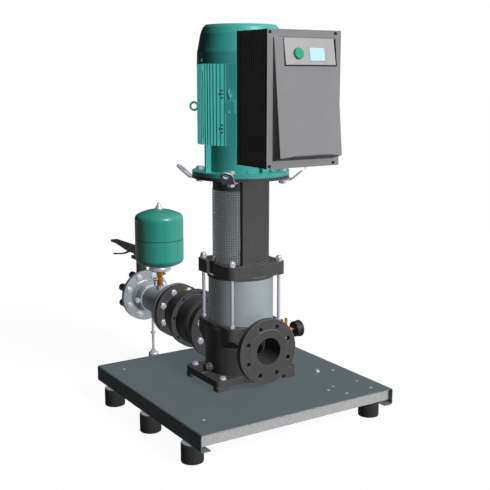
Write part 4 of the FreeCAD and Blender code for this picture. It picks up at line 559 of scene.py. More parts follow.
class Form:
    """A mesh in the making, shaped with bmesh operators."""

    def __init__(self) -> None:
        """Starts with an empty mesh."""
        self.mesh = bmesh.new()

    @classmethod
    def turned(cls, profile: Profile, steps: int = 32) -> "Form":
        """Turns an outline about the upright axis.

        Args:
            profile: Radius and height of each corner of a closed outline.
            steps: Number of facets round.

        Returns:
            The closed form.
        """
        form = cls()
        points = [form.mesh.verts.new((radius, 0, height)) for radius, height in profile]
        pairs = zip(points, points[1:] + points[:1])
        edges = [form.mesh.edges.new(pair) for pair in pairs if pair[0].co.x or pair[1].co.x]
        bmesh.ops.spin(form.mesh, geom=points + edges, cent=(0, 0, 0), axis=UP, angle=math.tau, steps=steps,
                       use_merge=True)
        return form.closed()

    @classmethod
    def block(cls, size: tuple[float, float, float], bevel: float = 0.0) -> "Form":
        """Block round the origin with softened edges.

        Args:
            size: Its three sides.
            bevel: Width of the rounding.

        Returns:
            The form.
        """
        form = cls()
        bmesh.ops.create_cube(form.mesh, size=1, matrix=Matrix.Diagonal((*size, 1)))
        if bevel:
            bmesh.ops.bevel(form.mesh, geom=form.mesh.edges[:], offset=bevel, offset_type="OFFSET",
                            segments=3, profile=0.5, affect="EDGES", material=-1)
        return form

    @classmethod
    def hexagon(cls, across: float, height: float, domed: float = 0.0) -> "Form":
        """Hexagon head or nut with its corners turned off at the top.

        Args:
            across: Width across flats.
            height: Height of the hexagon.
            domed: Rise of a dome on top, for a cap nut.

        Returns:
            The form, standing on the origin.
        """
        corner = across / math.sqrt(3)
        rim, slope = across * 0.47, 0.6
        fall = (corner - rim) * slope
        outline = [(0, 0), (rim, 0), (corner, fall), (corner, height - fall), (rim, height)]
        if domed:
            outline += [(rim * math.cos(a), height + domed * math.sin(a)) for a in (0.35, 0.7, 1.05, 1.3)]
        form = cls.turned(outline + [(0, height + domed)], 36)
        for side in range(6):
            way = Vector((*spoke(1, 60 * side), 0))
            form.trim(way * across / 2, way)
        return form

    @classmethod
    def thread(cls, radius: float, length: float, pitch: float, steps: int = 16) -> "Form":
        """Threaded rod, drawn as close rings.

        Args:
            radius: Outer radius.
            length: Length of the rod.
            pitch: Distance from crest to crest.
            steps: Number of facets round.

        Returns:
            The form, standing on the origin.
        """
        root = radius - pitch * 0.6
        outline = [(0, 0), (root, 0)]
        for ring in range(int(length / pitch)):
            outline += [(radius, (ring + 0.4) * pitch), (root, (ring + 0.9) * pitch)]
        return cls.turned(outline + [(root, length), (0, length)], steps)

    def trim(self, point: Vector, way: Vector) -> "Form":
        """Cuts away what lies past a plane and closes the cut.

        Args:
            point: A point of the plane.
            way: Direction that is cut away.

        Returns:
            This form.
        """
        geometry = self.mesh.verts[:] + self.mesh.edges[:] + self.mesh.faces[:]
        cut = bmesh.ops.bisect_plane(self.mesh, geom=geometry, plane_co=point, plane_no=way,
                                     clear_outer=True)
        rim = [piece for piece in cut["geom_cut"] if isinstance(piece, bmesh.types.BMEdge)]
        if rim:
            bmesh.ops.contextual_create(self.mesh, geom=rim)
        return self

    def closed(self) -> "Form":
        """Merges doubles, drops flat leftovers and turns all faces outwards.

        Returns:
            This form.
        """
        bmesh.ops.remove_doubles(self.mesh, verts=self.mesh.verts[:], dist=0.001)
        bmesh.ops.dissolve_degenerate(self.mesh, edges=self.mesh.edges[:], dist=0.0005)
        bmesh.ops.recalc_face_normals(self.mesh, faces=self.mesh.faces[:])
        return self

    def moved(self, matrix: Matrix) -> "Form":
        """Moves the whole form."""
        bmesh.ops.transform(self.mesh, matrix=matrix, verts=self.mesh.verts[:])
        return self

    def with_(self, other: "Form", places: Iterable[Matrix] = (Matrix(),)) -> "Form":
        """Adds copies of another form.

        Args:
            other: The form to copy.
            places: Where the copies go.

        Returns:
            This form.
        """
        for matrix in places:
            twin = other.mesh.copy()
            bmesh.ops.transform(twin, matrix=matrix, verts=twin.verts[:])
            held = bpy.data.meshes.new("held")
            twin.to_mesh(held)
            self.mesh.from_mesh(held)
            twin.free()
            bpy.data.meshes.remove(held)
        return self

    def piece(self, name: str, slot: Slot, finish: Finish | None = None, body: str = ROOT,
              stands_for: Sequence[str] = ()) -> bpy.types.Object:
        """Makes the finished Blender object, in metres and in the row frame.

        Args:
            name: Name of the piece.
            slot: The record's material slot.
            finish: Its finish, where it isn't the slot's own.
            body: CAD body that it moves with.
            stands_for: CAD nodes that it takes the place of.

        Returns:
            The object.
        """
        self.moved(Matrix.Translation(AXIS) @ Matrix.Scale(MM, 4))
        mesh = bpy.data.meshes.new(name)
        self.mesh.to_mesh(mesh)
        self.mesh.free()
        mesh.polygons.foreach_set("use_smooth", [True] * len(mesh.polygons))
        mesh.set_sharp_from_angle(angle=math.radians(SHARP_ANGLE))
        mesh.materials.append((finish or FINISHES[slot]).material())
        made = stand(name, mesh)
        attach(made, body)
        if stands_for:
            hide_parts(*stands_for)
        LOG.info("%s: %d faces", name, len(mesh.polygons))
        return made


@dataclass
class HexBolt:
    """Hexagon bolt with its washer, and past the grip a nut with the thread's end.

    Attributes:
        radius: Radius of the shank.
        across: Width of the head across flats.
        grip: Thickness of what it holds together.
        nut: Whether it has a nut.
        head_share: Height of head and washer, in radii.
        washer_share: Thickness of the washer, in radii.
        nut_share: Height of the nut, in radii.
        pitch: Pitch of the thread.
        over: Length of the thread past the nut.
    """
    radius: float
    across: float
    grip: float
    nut: bool = True
    head_share: float = 1.3
    washer_share: float = 0.3
    nut_share: float = 1.6
    pitch: float = 2.0
    over: float = 1.8

    def form(self) -> Form:
        """Draws the bolt with its head up and its grip running down from the origin.

        Returns:
            The form.
        """
        head = self.radius * self.head_share
        thick = self.radius * self.washer_share
        washer = Form.turned([(self.radius + 0.4, 0), (self.across * 0.62, 0),
                              (self.across * 0.62, thick * 0.7), (self.across * 0.6, thick),
                              (self.radius + 0.4, thick)], 28)
        made = Form().with_(washer)
        made.with_(Form.hexagon(self.across, head - thick), [at(0, 0, thick)])
        if self.nut:
            nut_high = self.radius * self.nut_share
            made.with_(Form.hexagon(self.across, nut_high - 0.2), [at(0, 0, -self.grip - nut_high)])
            made.with_(Form.thread(self.radius - 0.3, nut_high + self.over, self.pitch),
                       [at(0, 0, -self.grip - nut_high - self.over)])
        return made


@dataclass
class SubAssembly:
    """Group of CAD nodes that are dressed together.

    Attributes:
        nodes: Names of the CAD nodes.
        own_finish: Finish of a node that doesn't wear its slot's usual one.
    """
    nodes: tuple[str, ...] = ()
    own_finish: dict[str, Finish] = field(default_factory=dict)

    def build(self) -> None:
        """Dresses the CAD nodes and adds the pieces of this group."""
        for node in self.nodes:
            dress_node(node, self.own_finish.get(node) or FINISHES[NODE_SLOTS[node]])
        self.add_pieces()

    def add_pieces(self) -> None:
        """Adds the group's own pieces."""


@dataclass
class BaseFrame(SubAssembly):
    """Folded base plate on six rubber feet."""
    plate_top: float = 127.0
    plate_low: float = 67.0
    centre: tuple[float, float] = (-11.0, -9.0)
    foot_reach: tuple[float, float] = (368.0, 297.5)
    foot_radius: float = 37.5
    bolt_reach: tuple[float, float] = (138.0, 98.0)
    foot_top: float = 167.0
    washer_high: float = 2.5
    stud_place: tuple[float, float] = (261.0, -121.0)
    threaded_holes: tuple[tuple[float, float], ...] = ((-335, 295), (-332, -300), (325, -137), (323, -278),
                                                       (319, -360), (214, -278), (211, -358), (177, -299))

    def foot_places(self) -> list[tuple[float, float]]:
        """Centres of the rubber feet."""
        (x, y), (reach_x, reach_y) = self.centre, self.foot_reach
        return [(x + side * reach_x, y + row * reach_y) for side in (-1, 1) for row in (-1, 0, 1)]

    def add_pieces(self) -> None:
        """Adds feet, bolts and threaded inserts."""
        self.add_feet()
        self.add_bolts()
        self.add_inserts()

    def add_feet(self) -> None:
        """Rubber feet with a bonded steel disc on top and a moulded rim."""
        r, top = self.foot_radius, self.plate_low
        rubber = Form.turned([(0, 1.5), (r * 0.55, 1.5), (r * 0.6, 0), (r - 3, 0), (r - 0.8, 0.9), (r, 3),
                              (r, top - 6), (r - 0.6, top - 4.5), (r - 0.9, top - 3), (r - 2, top - 2.2),
                              (0, top - 2.2)], 56)
        feet = Form().with_(rubber, [at(x, y, 0) for x, y in self.foot_places()])
        feet.piece("rubber_foot_blocks", Slot.FOOT_RUBBER, stands_for=("rubber_feet",))
        disc = Form.turned([(0, top - 2.2), (r - 2.4, top - 2.2), (r - 2, top - 1.8), (r - 2, top - 0.5),
                            (r - 2.5, top), (0, top)], 48)
        discs = Form().with_(disc, [at(x, y, 0) for x, y in self.foot_places()])
        discs.piece("foot_discs", Slot.ZINC_FASTENER)

    def add_bolts(self) -> None:
        """Foot bolts of the pump, studs and nuts of the feet and one stud on the plate."""
        high = self.washer_high
        washer = Form.turned([(6.4, 0), (13, 0), (13, high - 0.5), (12.5, high), (6.4, high)], 32)
        bolts = Form()
        grip = self.foot_top + high - self.plate_top + 3
        for x, y in corners(*self.bolt_reach):
            bolts.with_(washer, [at(x, y, self.foot_top)])
            bolts.with_(HexBolt(radius=6, across=18, grip=grip).form(), [at(x, y, self.foot_top + high,
                                                                            turn=11 + x / 6)])
        nut = Form.hexagon(across=16, height=8)
        stud = Form.thread(radius=5, length=11, pitch=1.5)
        for x, y in self.foot_places():
            bolts.with_(nut, [at(x, y, self.plate_low + 3)]).with_(stud, [at(x, y, self.plate_low + 3)])
        collar = Form.turned([(0, 0), (10, 0), (10, 3.8), (8.8, 5), (6, 5), (6, 8.2), (5.2, 9), (0, 9)], 32)
        bolts.with_(collar, [at(*self.stud_place, self.plate_top)])
        bolts.piece("base_fasteners", Slot.ZINC_FASTENER, stands_for=("base_bolts",))

    def add_inserts(self) -> None:
        """Rims of the threaded inserts pressed into the plate."""
        rim = Form.turned([(2.6, -2.4), (3.95, -2.4), (3.95, 0), (6, 0), (5.6, 0.6), (2.9, 0.6),
                           (2.6, 0.2)], 24)
        inserts = Form().with_(rim, [at(x, y, self.plate_top) for x, y in self.threaded_holes])
        inserts.piece("threaded_inserts", Slot.ZINC_FASTENER)


@dataclass
class PumpEnd(SubAssembly):
    """Casing, sleeve, tie rods and the hydraulics inside."""
    rim: float = 346.0
    rod_circle: float = 139.3
    lantern_top: float = 567.0
    washer_high: float = 2.5

    def add_pieces(self) -> None:
        """Domed nuts on washers above the lantern's base, and hexagon nuts under the casing's rim."""
        top, high = self.lantern_top, self.washer_high
        washer = Form.turned([(6.3, 0), (12, 0), (12, high - 0.4), (11.6, high), (6.3, high)], 32)
        cap = Form.hexagon(across=22, height=11.5, domed=7.5)
        nut = Form.hexagon(across=17, height=8)
        nuts = Form()
        reach = self.rod_circle / math.sqrt(2)
        for turn, (x, y) in enumerate(corners(reach, reach)):
            nuts.with_(washer, [at(x, y, top)]).with_(cap, [at(x, y, top + high, turn=17 * turn)])
            nuts.with_(nut, [at(x, y, self.rim, turn=23 * turn)])
        nuts.piece("rod_nuts", Slot.ZINC_FASTENER, stands_for=("tie_rod_nuts",))


@dataclass
class PerforatedGuard:
    """Rolled sheet with rows of punched holes."""
    low: float = 567.0
    high: float = 824.0
    radius: float = 100.35
    half_angle: float = 55.6
    sheet: float = 1.2
    columns: int = 23
    rows: int = 30
    web: float = 4.4
    hole_rounding: float = 0.29
    notch_radius: float = 13.0
    notch_top: float = 17.0

    def form(self) -> Form:
        """Punches one column of cells and repeats it round the shaft.

        Returns:
            The sheet, centred on the +X side.
        """
        form = Form()
        bm = form.mesh
        turn = math.radians(2 * self.half_angle) / self.columns
        width = 2 * self.radius * math.tan(turn / 2)
        tall = self.high - self.low
        bmesh.ops.create_grid(bm, x_segments=1, y_segments=self.rows, size=0.5)
        flat = Matrix.Translation((self.radius, 0, self.low + tall / 2))
        flat = flat @ Matrix.Rotation(math.pi / 2, 4, "Y") @ Matrix.Rotation(math.pi / 2, 4, "Z")
        flat = flat @ Matrix.Diagonal((width, tall, 1, 1))
        bmesh.ops.transform(bm, matrix=flat, verts=bm.verts[:])
        cells = bm.faces[:]
        bmesh.ops.inset_individual(bm, faces=cells, thickness=self.web / 2)
        holes = [face for face in cells if face.is_valid]
        tips = list(dict.fromkeys(tip for face in holes for tip in face.verts))
        bmesh.ops.bevel(bm, geom=tips, offset=(width - self.web) * self.hole_rounding, offset_type="OFFSET",
                        segments=1, profile=0.5, affect="VERTICES", material=-1)
        # The punched holes are the eight-cornered faces in the middle of each cell.
        middle = [face for face in bm.faces if len(face.verts) == 8
                  and face.calc_area() < width * width * 0.8 and abs(face.calc_center_median().y) < 0.2]
        bmesh.ops.delete(bm, geom=middle, context="FACES")
        start = Matrix.Rotation(-math.radians(self.half_angle) + turn / 2, 4, "Z")
        bmesh.ops.transform(bm, matrix=start, verts=bm.verts[:])
        everything = bm.verts[:] + bm.edges[:] + bm.faces[:]
        bmesh.ops.spin(bm, geom=everything, cent=(0, 0, 0), axis=UP, angle=turn * (self.columns - 1),
                       steps=self.columns - 1, use_duplicate=True)
        return form.closed()

    def place(self, side: float, slot: Slot, name: str, node: str, gap: Vector | None = None) -> None:
        """Puts the sheet on one side and gives it its thickness.

        Args:
            side: 1 for +X, -1 for -X.
            slot: The record's material slot.
            name: Name of the piece.
            node: CAD node that it stands for.
            gap: Middle of a round notch in the lower edge.
        """
        form = self.form()
        if side < 0:
            form.moved(Matrix.Rotation(math.pi, 4, "Z"))
        if gap is not None:
            near = [v for v in form.mesh.verts if (v.co.xy - gap.xy).length < self.notch_radius
                    and v.co.z < self.low + self.notch_top]
            bmesh.ops.delete(form.mesh, geom=near, context="VERTS")
        inward = [face for face in form.mesh.faces if face.normal.xy.dot(face.calc_center_median().xy) < 0]
        bmesh.ops.reverse_faces(form.mesh, faces=inward)
        bmesh.ops.solidify(form.mesh, geom=form.mesh.faces[:], thickness=-self.sheet)
        form.piece(name, slot, stands_for=(node,))


@dataclass
class Lantern(SubAssembly):
    """Cast lantern with its guards, the coupling inside and the motor bolts."""
    flange_low: float = 865.0
    flange_top: float = 891.0
    bolt_circle: float = 150.0
    vent: tuple[float, float] = (-95.0, 16.0)

    def add_pieces(self) -> None:
        """Adds the guards and the motor bolts."""
        guard = PerforatedGuard()
        guard.place(1, Slot.STAINLESS, "guard_sheet_right", "guard_right")
        guard.place(-1, Slot.STAINLESS, "guard_sheet_left", "guard_left", Vector((*self.vent, 0)))
        grip = self.flange_top - self.flange_low + 6
        places = [at(*spoke(self.bolt_circle, 45 + QUARTER * quarter), self.flange_top, turn=13 * quarter)
                  for quarter in range(4)]
        bolts = Form().with_(HexBolt(radius=7.7, across=24, grip=grip).form(), places)
        bolts.piece("motor_fasteners", Slot.ZINC_FASTENER, stands_for=("motor_bolts",))


@dataclass
class Motor(SubAssembly):
    """Finned motor with end shields, fan and fan cover."""
    cover_radius: float = 151.6
    cover_screw_height: float = 1268.0
    cover_screw_turn: float = -3.0
    pad_face: float = 149.0
    pad_turn: float = 225.0
    pad_holes: tuple[tuple[float, float], ...] = ((-31.0, 1157.0), (-31.0, 1042.0))

    def add_pieces(self) -> None:
        """Screws that hold the fan cover, and the pad's plugs."""
        screw = Form.turned([(0, 0), (5, 0), (5, 1.2), (4, 2.6), (2.4, 3), (2.4, 2.2), (0, 2.2)], 20)
        screws = Form()
        for quarter in range(4):
            out = Vector((*spoke(1, self.cover_screw_turn + QUARTER * quarter), 0))
            point = out * (self.cover_radius - 0.6)
            screws.with_(screw, [at(point.x, point.y, self.cover_screw_height, out)])
        screws.piece("cover_fixings", Slot.MOTOR_PAINT)
        self.add_pad_holes()

    def add_pad_holes(self) -> None:
        """Plugged threaded holes in groups of five on the front-left pad, where a terminal box could go."""
        plug = Form.turned([(0, 0.1), (2.4, 0.1), (2.6, 0.5), (3.3, 0.5), (3.3, -1.5), (0, -1.5)], 20)
        out = Vector((*spoke(1, self.pad_turn), 0))
        across = Vector((-out.y, out.x, 0))
        plugs = Form()
        for aside, height in self.pad_holes:
            for step_aside, step_up in ((0, 0), (9, 0), (-9, 0), (0, 12), (0, -12)):
                point = out * self.pad_face + across * (aside + step_aside)
                plugs.with_(plug, [at(point.x, point.y, height + step_up, out)])
        plugs.piece("pad_hole_plugs", Slot.FAN_PLASTIC)


@dataclass
class Inverter(SubAssembly):
    """Frequency inverter with its lid, panel, display and knob."""
    front: float = -373.5
    low: float = 931.5
    top: float = 1357.8
    screw_columns: tuple[float, float] = (-132.0, 118.0)
    tilt: float = 10.5
    knob: tuple[float, float] = (-33.7, 1284.0)
    display: tuple[float, float] = (42.5, 1284.0)
    display_size: tuple[float, float] = (58.0, 41.0)
    panel: tuple[float, float, float, float] = (-80.0, 112.0, 1251.0, 1332.0)
    panel_out: float = 14.0
    bezel_bar: float = 3.0
    gap_left: float = 10.0
    knob_radius: float = 18.0
    knob_height: float = 9.5
    knob_lift: float = 2.3
    knob_ribs: int = 36

    def on_panel(self, x: float, z: float, lift: float = 0.0) -> Matrix:
        """Place on the tilted panel, with up along its outward normal.

        Args:
            x: Sideways place.
            z: Height.
            lift: Distance off the panel's face.

        Returns:
            The matrix.
        """
        lean = math.radians(self.tilt)
        face = Vector((x, self.front - self.panel_out + (z - self.panel[2]) * math.tan(lean), z))
        out = Vector((0, -math.cos(lean), math.sin(lean)))
        turn = Matrix.Rotation(math.radians(90 - self.tilt), 4, "X")
        return Matrix.Translation(face + out * lift) @ turn

    def add_pieces(self) -> None:
        """Adds lid screws, knob, painted shade in the gap round the panel and the window's bezel."""
        self.add_screws()
        self.add_knob()
        self.add_gap()
        (wide, tall), bar = self.display_size, self.bezel_bar
        bezel = Form()
        for side in (-1, 1):
            level = Matrix.Translation((0, side * (tall / 2 + 1.6), 0.5))
            upright = Matrix.Translation((side * (wide / 2 + 1.6), 0, 0.5))
            bezel.with_(Form.block((wide + 7, bar, 1.4), bevel=0.6), [level])
            bezel.with_(Form.block((bar, tall + 7, 1.4), bevel=0.6), [upright])
        bezel.moved(self.on_panel(*self.display))
        bezel.piece("display_bezel", Slot.PANEL_GREY)

    def add_knob(self) -> None:
        """Low round knob with a knurled rim and a slightly hollow face."""
        high = self.knob_height
        r = self.knob_radius
        knob = Form.turned([(3.1, 0), (r - 1.2, 0), (r - 0.4, 1), (r - 0.4, high - 1.6), (r - 1.8, high),
                            (r - 4, high - 0.1), (0, high - 0.7), (0, high - 1.4), (3.1, high - 1.4)], 64)
        rib = Form.turned([(0, 1), (0.7, 1), (0.7, high - 2.4), (0.4, high - 1.8), (0, high - 1.8)], 8)
        for step in range(self.knob_ribs):
            knob.with_(rib, [at(*spoke(r - 0.5, 360 * step / self.knob_ribs), 0)])
        knob.moved(self.on_panel(*self.knob, self.knob_lift))
        knob.piece("knob_cap", Slot.KNOB_GREEN, body="knob", stands_for=("control_knob",))

    def add_gap(self) -> None:
        """Black strip of painted shade in the gap left of the panel and under it."""
        left, right, low, high = self.panel
        # A matt black strip stands in for the shade that falls into the gap: painted shade.
        shade_strip = Form()
        upright = Form.block((self.gap_left - 0.5, high - low + 4, 8), bevel=0.5)
        shade_strip.with_(upright, [self.on_panel(left - self.gap_left / 2, (low + high) / 2 - 2, -5.2)])
        sill = Form.block((right - left, self.panel_out, 4.4), bevel=0.5)
        shade_strip.with_(sill, [Matrix.Translation(((left + right) / 2, self.front - 4, low - 2.5))])
        shade_strip.piece("panel_shade_strip", Slot.SEAL_RUBBER)

    def add_screws(self) -> None:
        """Socket screws at the lid's corners."""
        screw = Form.turned([(0, 0), (5.4, 0), (5.4, 2.2), (4.7, 3), (3.4, 3), (3.2, 0.5), (0, 0.5)], 24)
        places = [at(x, self.front, z, -ALONG) for x in self.screw_columns
                  for z in (self.low + 9, self.top - 9)]
        screws = Form().with_(screw, places)
        screws.piece("lid_screws", Slot.ZINC_FASTENER, BLACK_OXIDE, stands_for=("cover_screws",))


@dataclass
class PipeGroup(SubAssembly):
    """Group that sits on the pipework's axis.

    Attributes:
        port_height: Height of the axis above the floor.
        bolt_circle: Radius of the circle of flange bolts.
        bolt_turn: Angle of the first flange bolt from +X, in degrees.
    """
    port_height: float = 267.0
    bolt_circle: float = 90.0
    bolt_turn: float = 22.5

    def eighths(self, reach: float, turn: float, y: float, way: Vector, spin: float = 0.0) -> list[Matrix]:
        """Eight places on a circle round the axis, each spun a step more about its own up axis."""
        spots = [spoke(reach, turn + EIGHTH * step) for step in range(8)]
        return [at(x, y, self.port_height + z, way, spin * step) for step, (x, z) in enumerate(spots)]


@dataclass
class CheckValve(PipeGroup):
    """Flanged check valve in two halves."""
    ring_face: float = 322.5
    screw_circle: float = 106.5
    screw_turn: float = -10.0

    def add_pieces(self) -> None:
        """Low black socket screws round the joint."""
        screw = Form.turned([(0, 0), (5.5, 0), (5.5, 0.9), (4.9, 1.5), (3.2, 1.5), (3.2, 0.3), (0, 0.3)], 24)
        screws = Form().with_(screw, self.eighths(self.screw_circle, self.screw_turn, self.ring_face,
                                                  -ALONG))
        screws.piece("joint_screws", Slot.ZINC_FASTENER, BLACK_OXIDE, stands_for=("check_ring_bolts",))


@dataclass
class OutletPipe(PipeGroup):
    """Flanged pipe with its bolts and the clamp that stands on the floor."""
    pipe_radius: float = 57.15
    support: float = 718.0
    pipe_ends: tuple[float, float] = (506.5, 776.0)
    head_faces: tuple[float, ...] = (206.5, 506.5, 776.0)
    grips: tuple[float, ...] = (44.0, 44.0, 0.0)

    def add_pieces(self) -> None:
        """Adds bolts, weld beads and the clamp stand."""
        self.add_bolts()
        self.add_welds()
        self.add_support()

    def add_bolts(self) -> None:
        """Bolts of the three flange joints."""
        bolts = Form()
        for y, grip in zip(self.head_faces, self.grips):
            bolt = HexBolt(radius=7.7, across=24, grip=grip, nut=grip > 0).form()
            way = ALONG if grip else -ALONG
            bolts.with_(bolt, self.eighths(self.bolt_circle, self.bolt_turn, y, way, 9))
        bolts.piece("flange_fasteners", Slot.ZINC_FASTENER, stands_for=("flange_bolts",))

    def add_welds(self) -> None:
        """Weld beads where the pipe meets its two flanges."""
        bead = Form.turned([(66.5, -1), (70.5, -1), (70, 0.6), (68, 1.6), (66.4, 1)], 96)
        welds = Form()
        for y, way in zip(self.pipe_ends, (ALONG, -ALONG)):
            welds.with_(bead, [at(0, y, self.port_height, way)])
        welds.piece("weld_beads", Slot.ZINC_SHEET, TURNED_STEEL)

    def add_support(self) -> None:
        """Clamp, screws, threaded rod, nuts and foot."""
        inner = self.pipe_radius + 0.2
        outer = self.pipe_radius + 4.1
        z, y = self.port_height, self.support
        ring = Form.turned([(inner, -11.6), (outer - 1, -11.6), (outer, -10.6), (outer, 10.6),
                            (outer - 1, 11.6), (inner, 11.6)], 64)
        support = Form()
        ear = Form.block((24, 23, 3.6), bevel=1.0)
        screw = HexBolt(radius=4, across=13, grip=11).form()
        for side in (-1, 1):
            half = Form().with_(ring, [at(0, y, z, ALONG)])
            support.with_(half.trim(Vector((0, 0, z + side * 1.6)), Vector((0, 0, -side))))
            for hand in (-1, 1):
                support.with_(ear, [at(hand * (outer + 10), y, z + side * 3.6)])
                if side > 0:
                    support.with_(screw, [at(hand * (outer + 12), y, z + 5.5)])
        rod_top = z - outer - 4
        support.with_(Form.thread(radius=6, length=rod_top - 12, pitch=1.9), [at(0, y, 12)])
        for low, across, high in ((27.0, 18, 10), (108.0, 18, 10), (z - outer - 15.5, 17, 17)):
            support.with_(Form.hexagon(across, high), [at(0, y, low)])
        foot = Form.turned([(0, 0.4), (17, 0.4), (18.5, 0), (20, 0), (22, 2), (22, 19), (21, 21.5), (19, 24),
                            (13, 26.4), (11, 27), (0, 27)], 40)
        support.with_(foot, [at(0, y, 0)])
        support.piece("pipe_clamp_stand", Slot.ZINC_FASTENER, stands_for=("pipe_support",))


@dataclass
class LugValve(PipeGroup):
    """Butterfly valve between the pipe and the customer's flange."""
    outlet_face: float = 846.5
    hole_radius: float = 8.0
    pitch: float = 2.0

    def add_pieces(self) -> None:
        """Turns of thread in the lugs' open holes."""
        root, crest = self.hole_radius, self.hole_radius - 0.9
        turn = Form.turned([(root + 0.1, 0), (crest, self.pitch * 0.4), (crest, self.pitch * 0.5),
                            (root + 0.1, self.pitch * 0.9)], 20)
        threads = Form()
        for ring in range(8):
            face = self.outlet_face - 1 - self.pitch * ring
            threads.with_(turn, self.eighths(self.bolt_circle, self.bolt_turn, face, -ALONG))
        threads.piece("lug_threads", Slot.BLACK_CASTING, TURNED_STEEL)


@dataclass
class DiaphragmVessel(SubAssembly):
    """Small diaphragm vessel on its flow fitting."""
    place: tuple[float, float] = (0.0, 642.7)
    radius: float = 101.8
    seam: float = 543.0

    def add_pieces(self) -> None:
        """Adds the groove of the rolled seam, painted darker as shade."""
        x, y = self.place
        r = self.radius
        # A dark band of painted shade where the seam's groove lies.
        groove = Form.turned([(r - 0.6, -1.7), (r + 0.05, -1.7), (r + 0.12, -1.2), (r + 0.12, 1.2),
                              (r + 0.05, 1.7), (r - 0.6, 1.7)], 96)
        groove.moved(at(x, y, self.seam))
        groove.piece("vessel_seam", Slot.VESSEL_PAINT, SEAM_SHADE)


@dataclass
class GaugeSet(PipeGroup):
    """Pressure gauge with its cock, read from +X."""
    dial_face: float = 258.2
    radius: float = 27.8
    marks: int = 50
    zero_turn: float = 225.0
    sweep: float = 270.0
    numbers: int = 9
    number_circle: float = 18.0
    number_size: float = 5.2

    def add_pieces(self) -> None:
        """Adds the dial with its scale and numbers."""
        face = at(self.dial_face, 0, self.port_height, ACROSS)
        dial = Form.turned([(1.6, -0.2), (self.radius, -0.2), (self.radius, 0.15), (1.6, 0.15)],
                           64).moved(face)
        dial.piece("dial_plate", Slot.GAUGE_BLACK, DIAL_WHITE)
        scale = Form()
        for step in range(self.marks + 1):
            long = step % 5 == 0
            turn = Matrix.Rotation(math.radians(self.zero_turn - self.sweep * step / self.marks), 4, "X")
            size = (0.12, 4.2 if long else 2.2, 0.7 if long else 0.35)
            out = Matrix.Translation((self.dial_face + 0.2, self.radius - 2 - size[1] / 2, 0))
            mark = Form.block(size).moved(out)
            scale.with_(mark, [Matrix.Translation((0, 0, self.port_height)) @ turn])
        scale.piece("dial_scale", Slot.NEEDLE_BLACK)
        self.add_numbers()

    def add_numbers(self) -> None:
        """Numbers of the scale, 0 to 16."""
        numbers = Form()
        turn = Matrix(((0, 0, 1), (1, 0, 0), (0, 1, 0))).to_4x4()
        for step in range(self.numbers):
            curve = bpy.data.curves.new("number", "FONT")
            curve.body = str(2 * step)
            curve.size = self.number_size
            curve.align_x = "CENTER"
            curve.align_y = "CENTER"
            curve.extrude = 0.05
            text = stand("number", curve)
            flat = bpy.data.meshes.new_from_object(text)
            bpy.data.objects.remove(text)
            bpy.data.curves.remove(curve)
            y, z = spoke(self.number_circle, self.zero_turn - self.sweep * step / (self.numbers - 1))
            flat.transform(Matrix.Translation((self.dial_face + 0.25, y, self.port_height + z)) @ turn)
            numbers.mesh.from_mesh(flat)
            bpy.data.meshes.remove(flat)
        numbers.piece("dial_numbers", Slot.NEEDLE_BLACK)


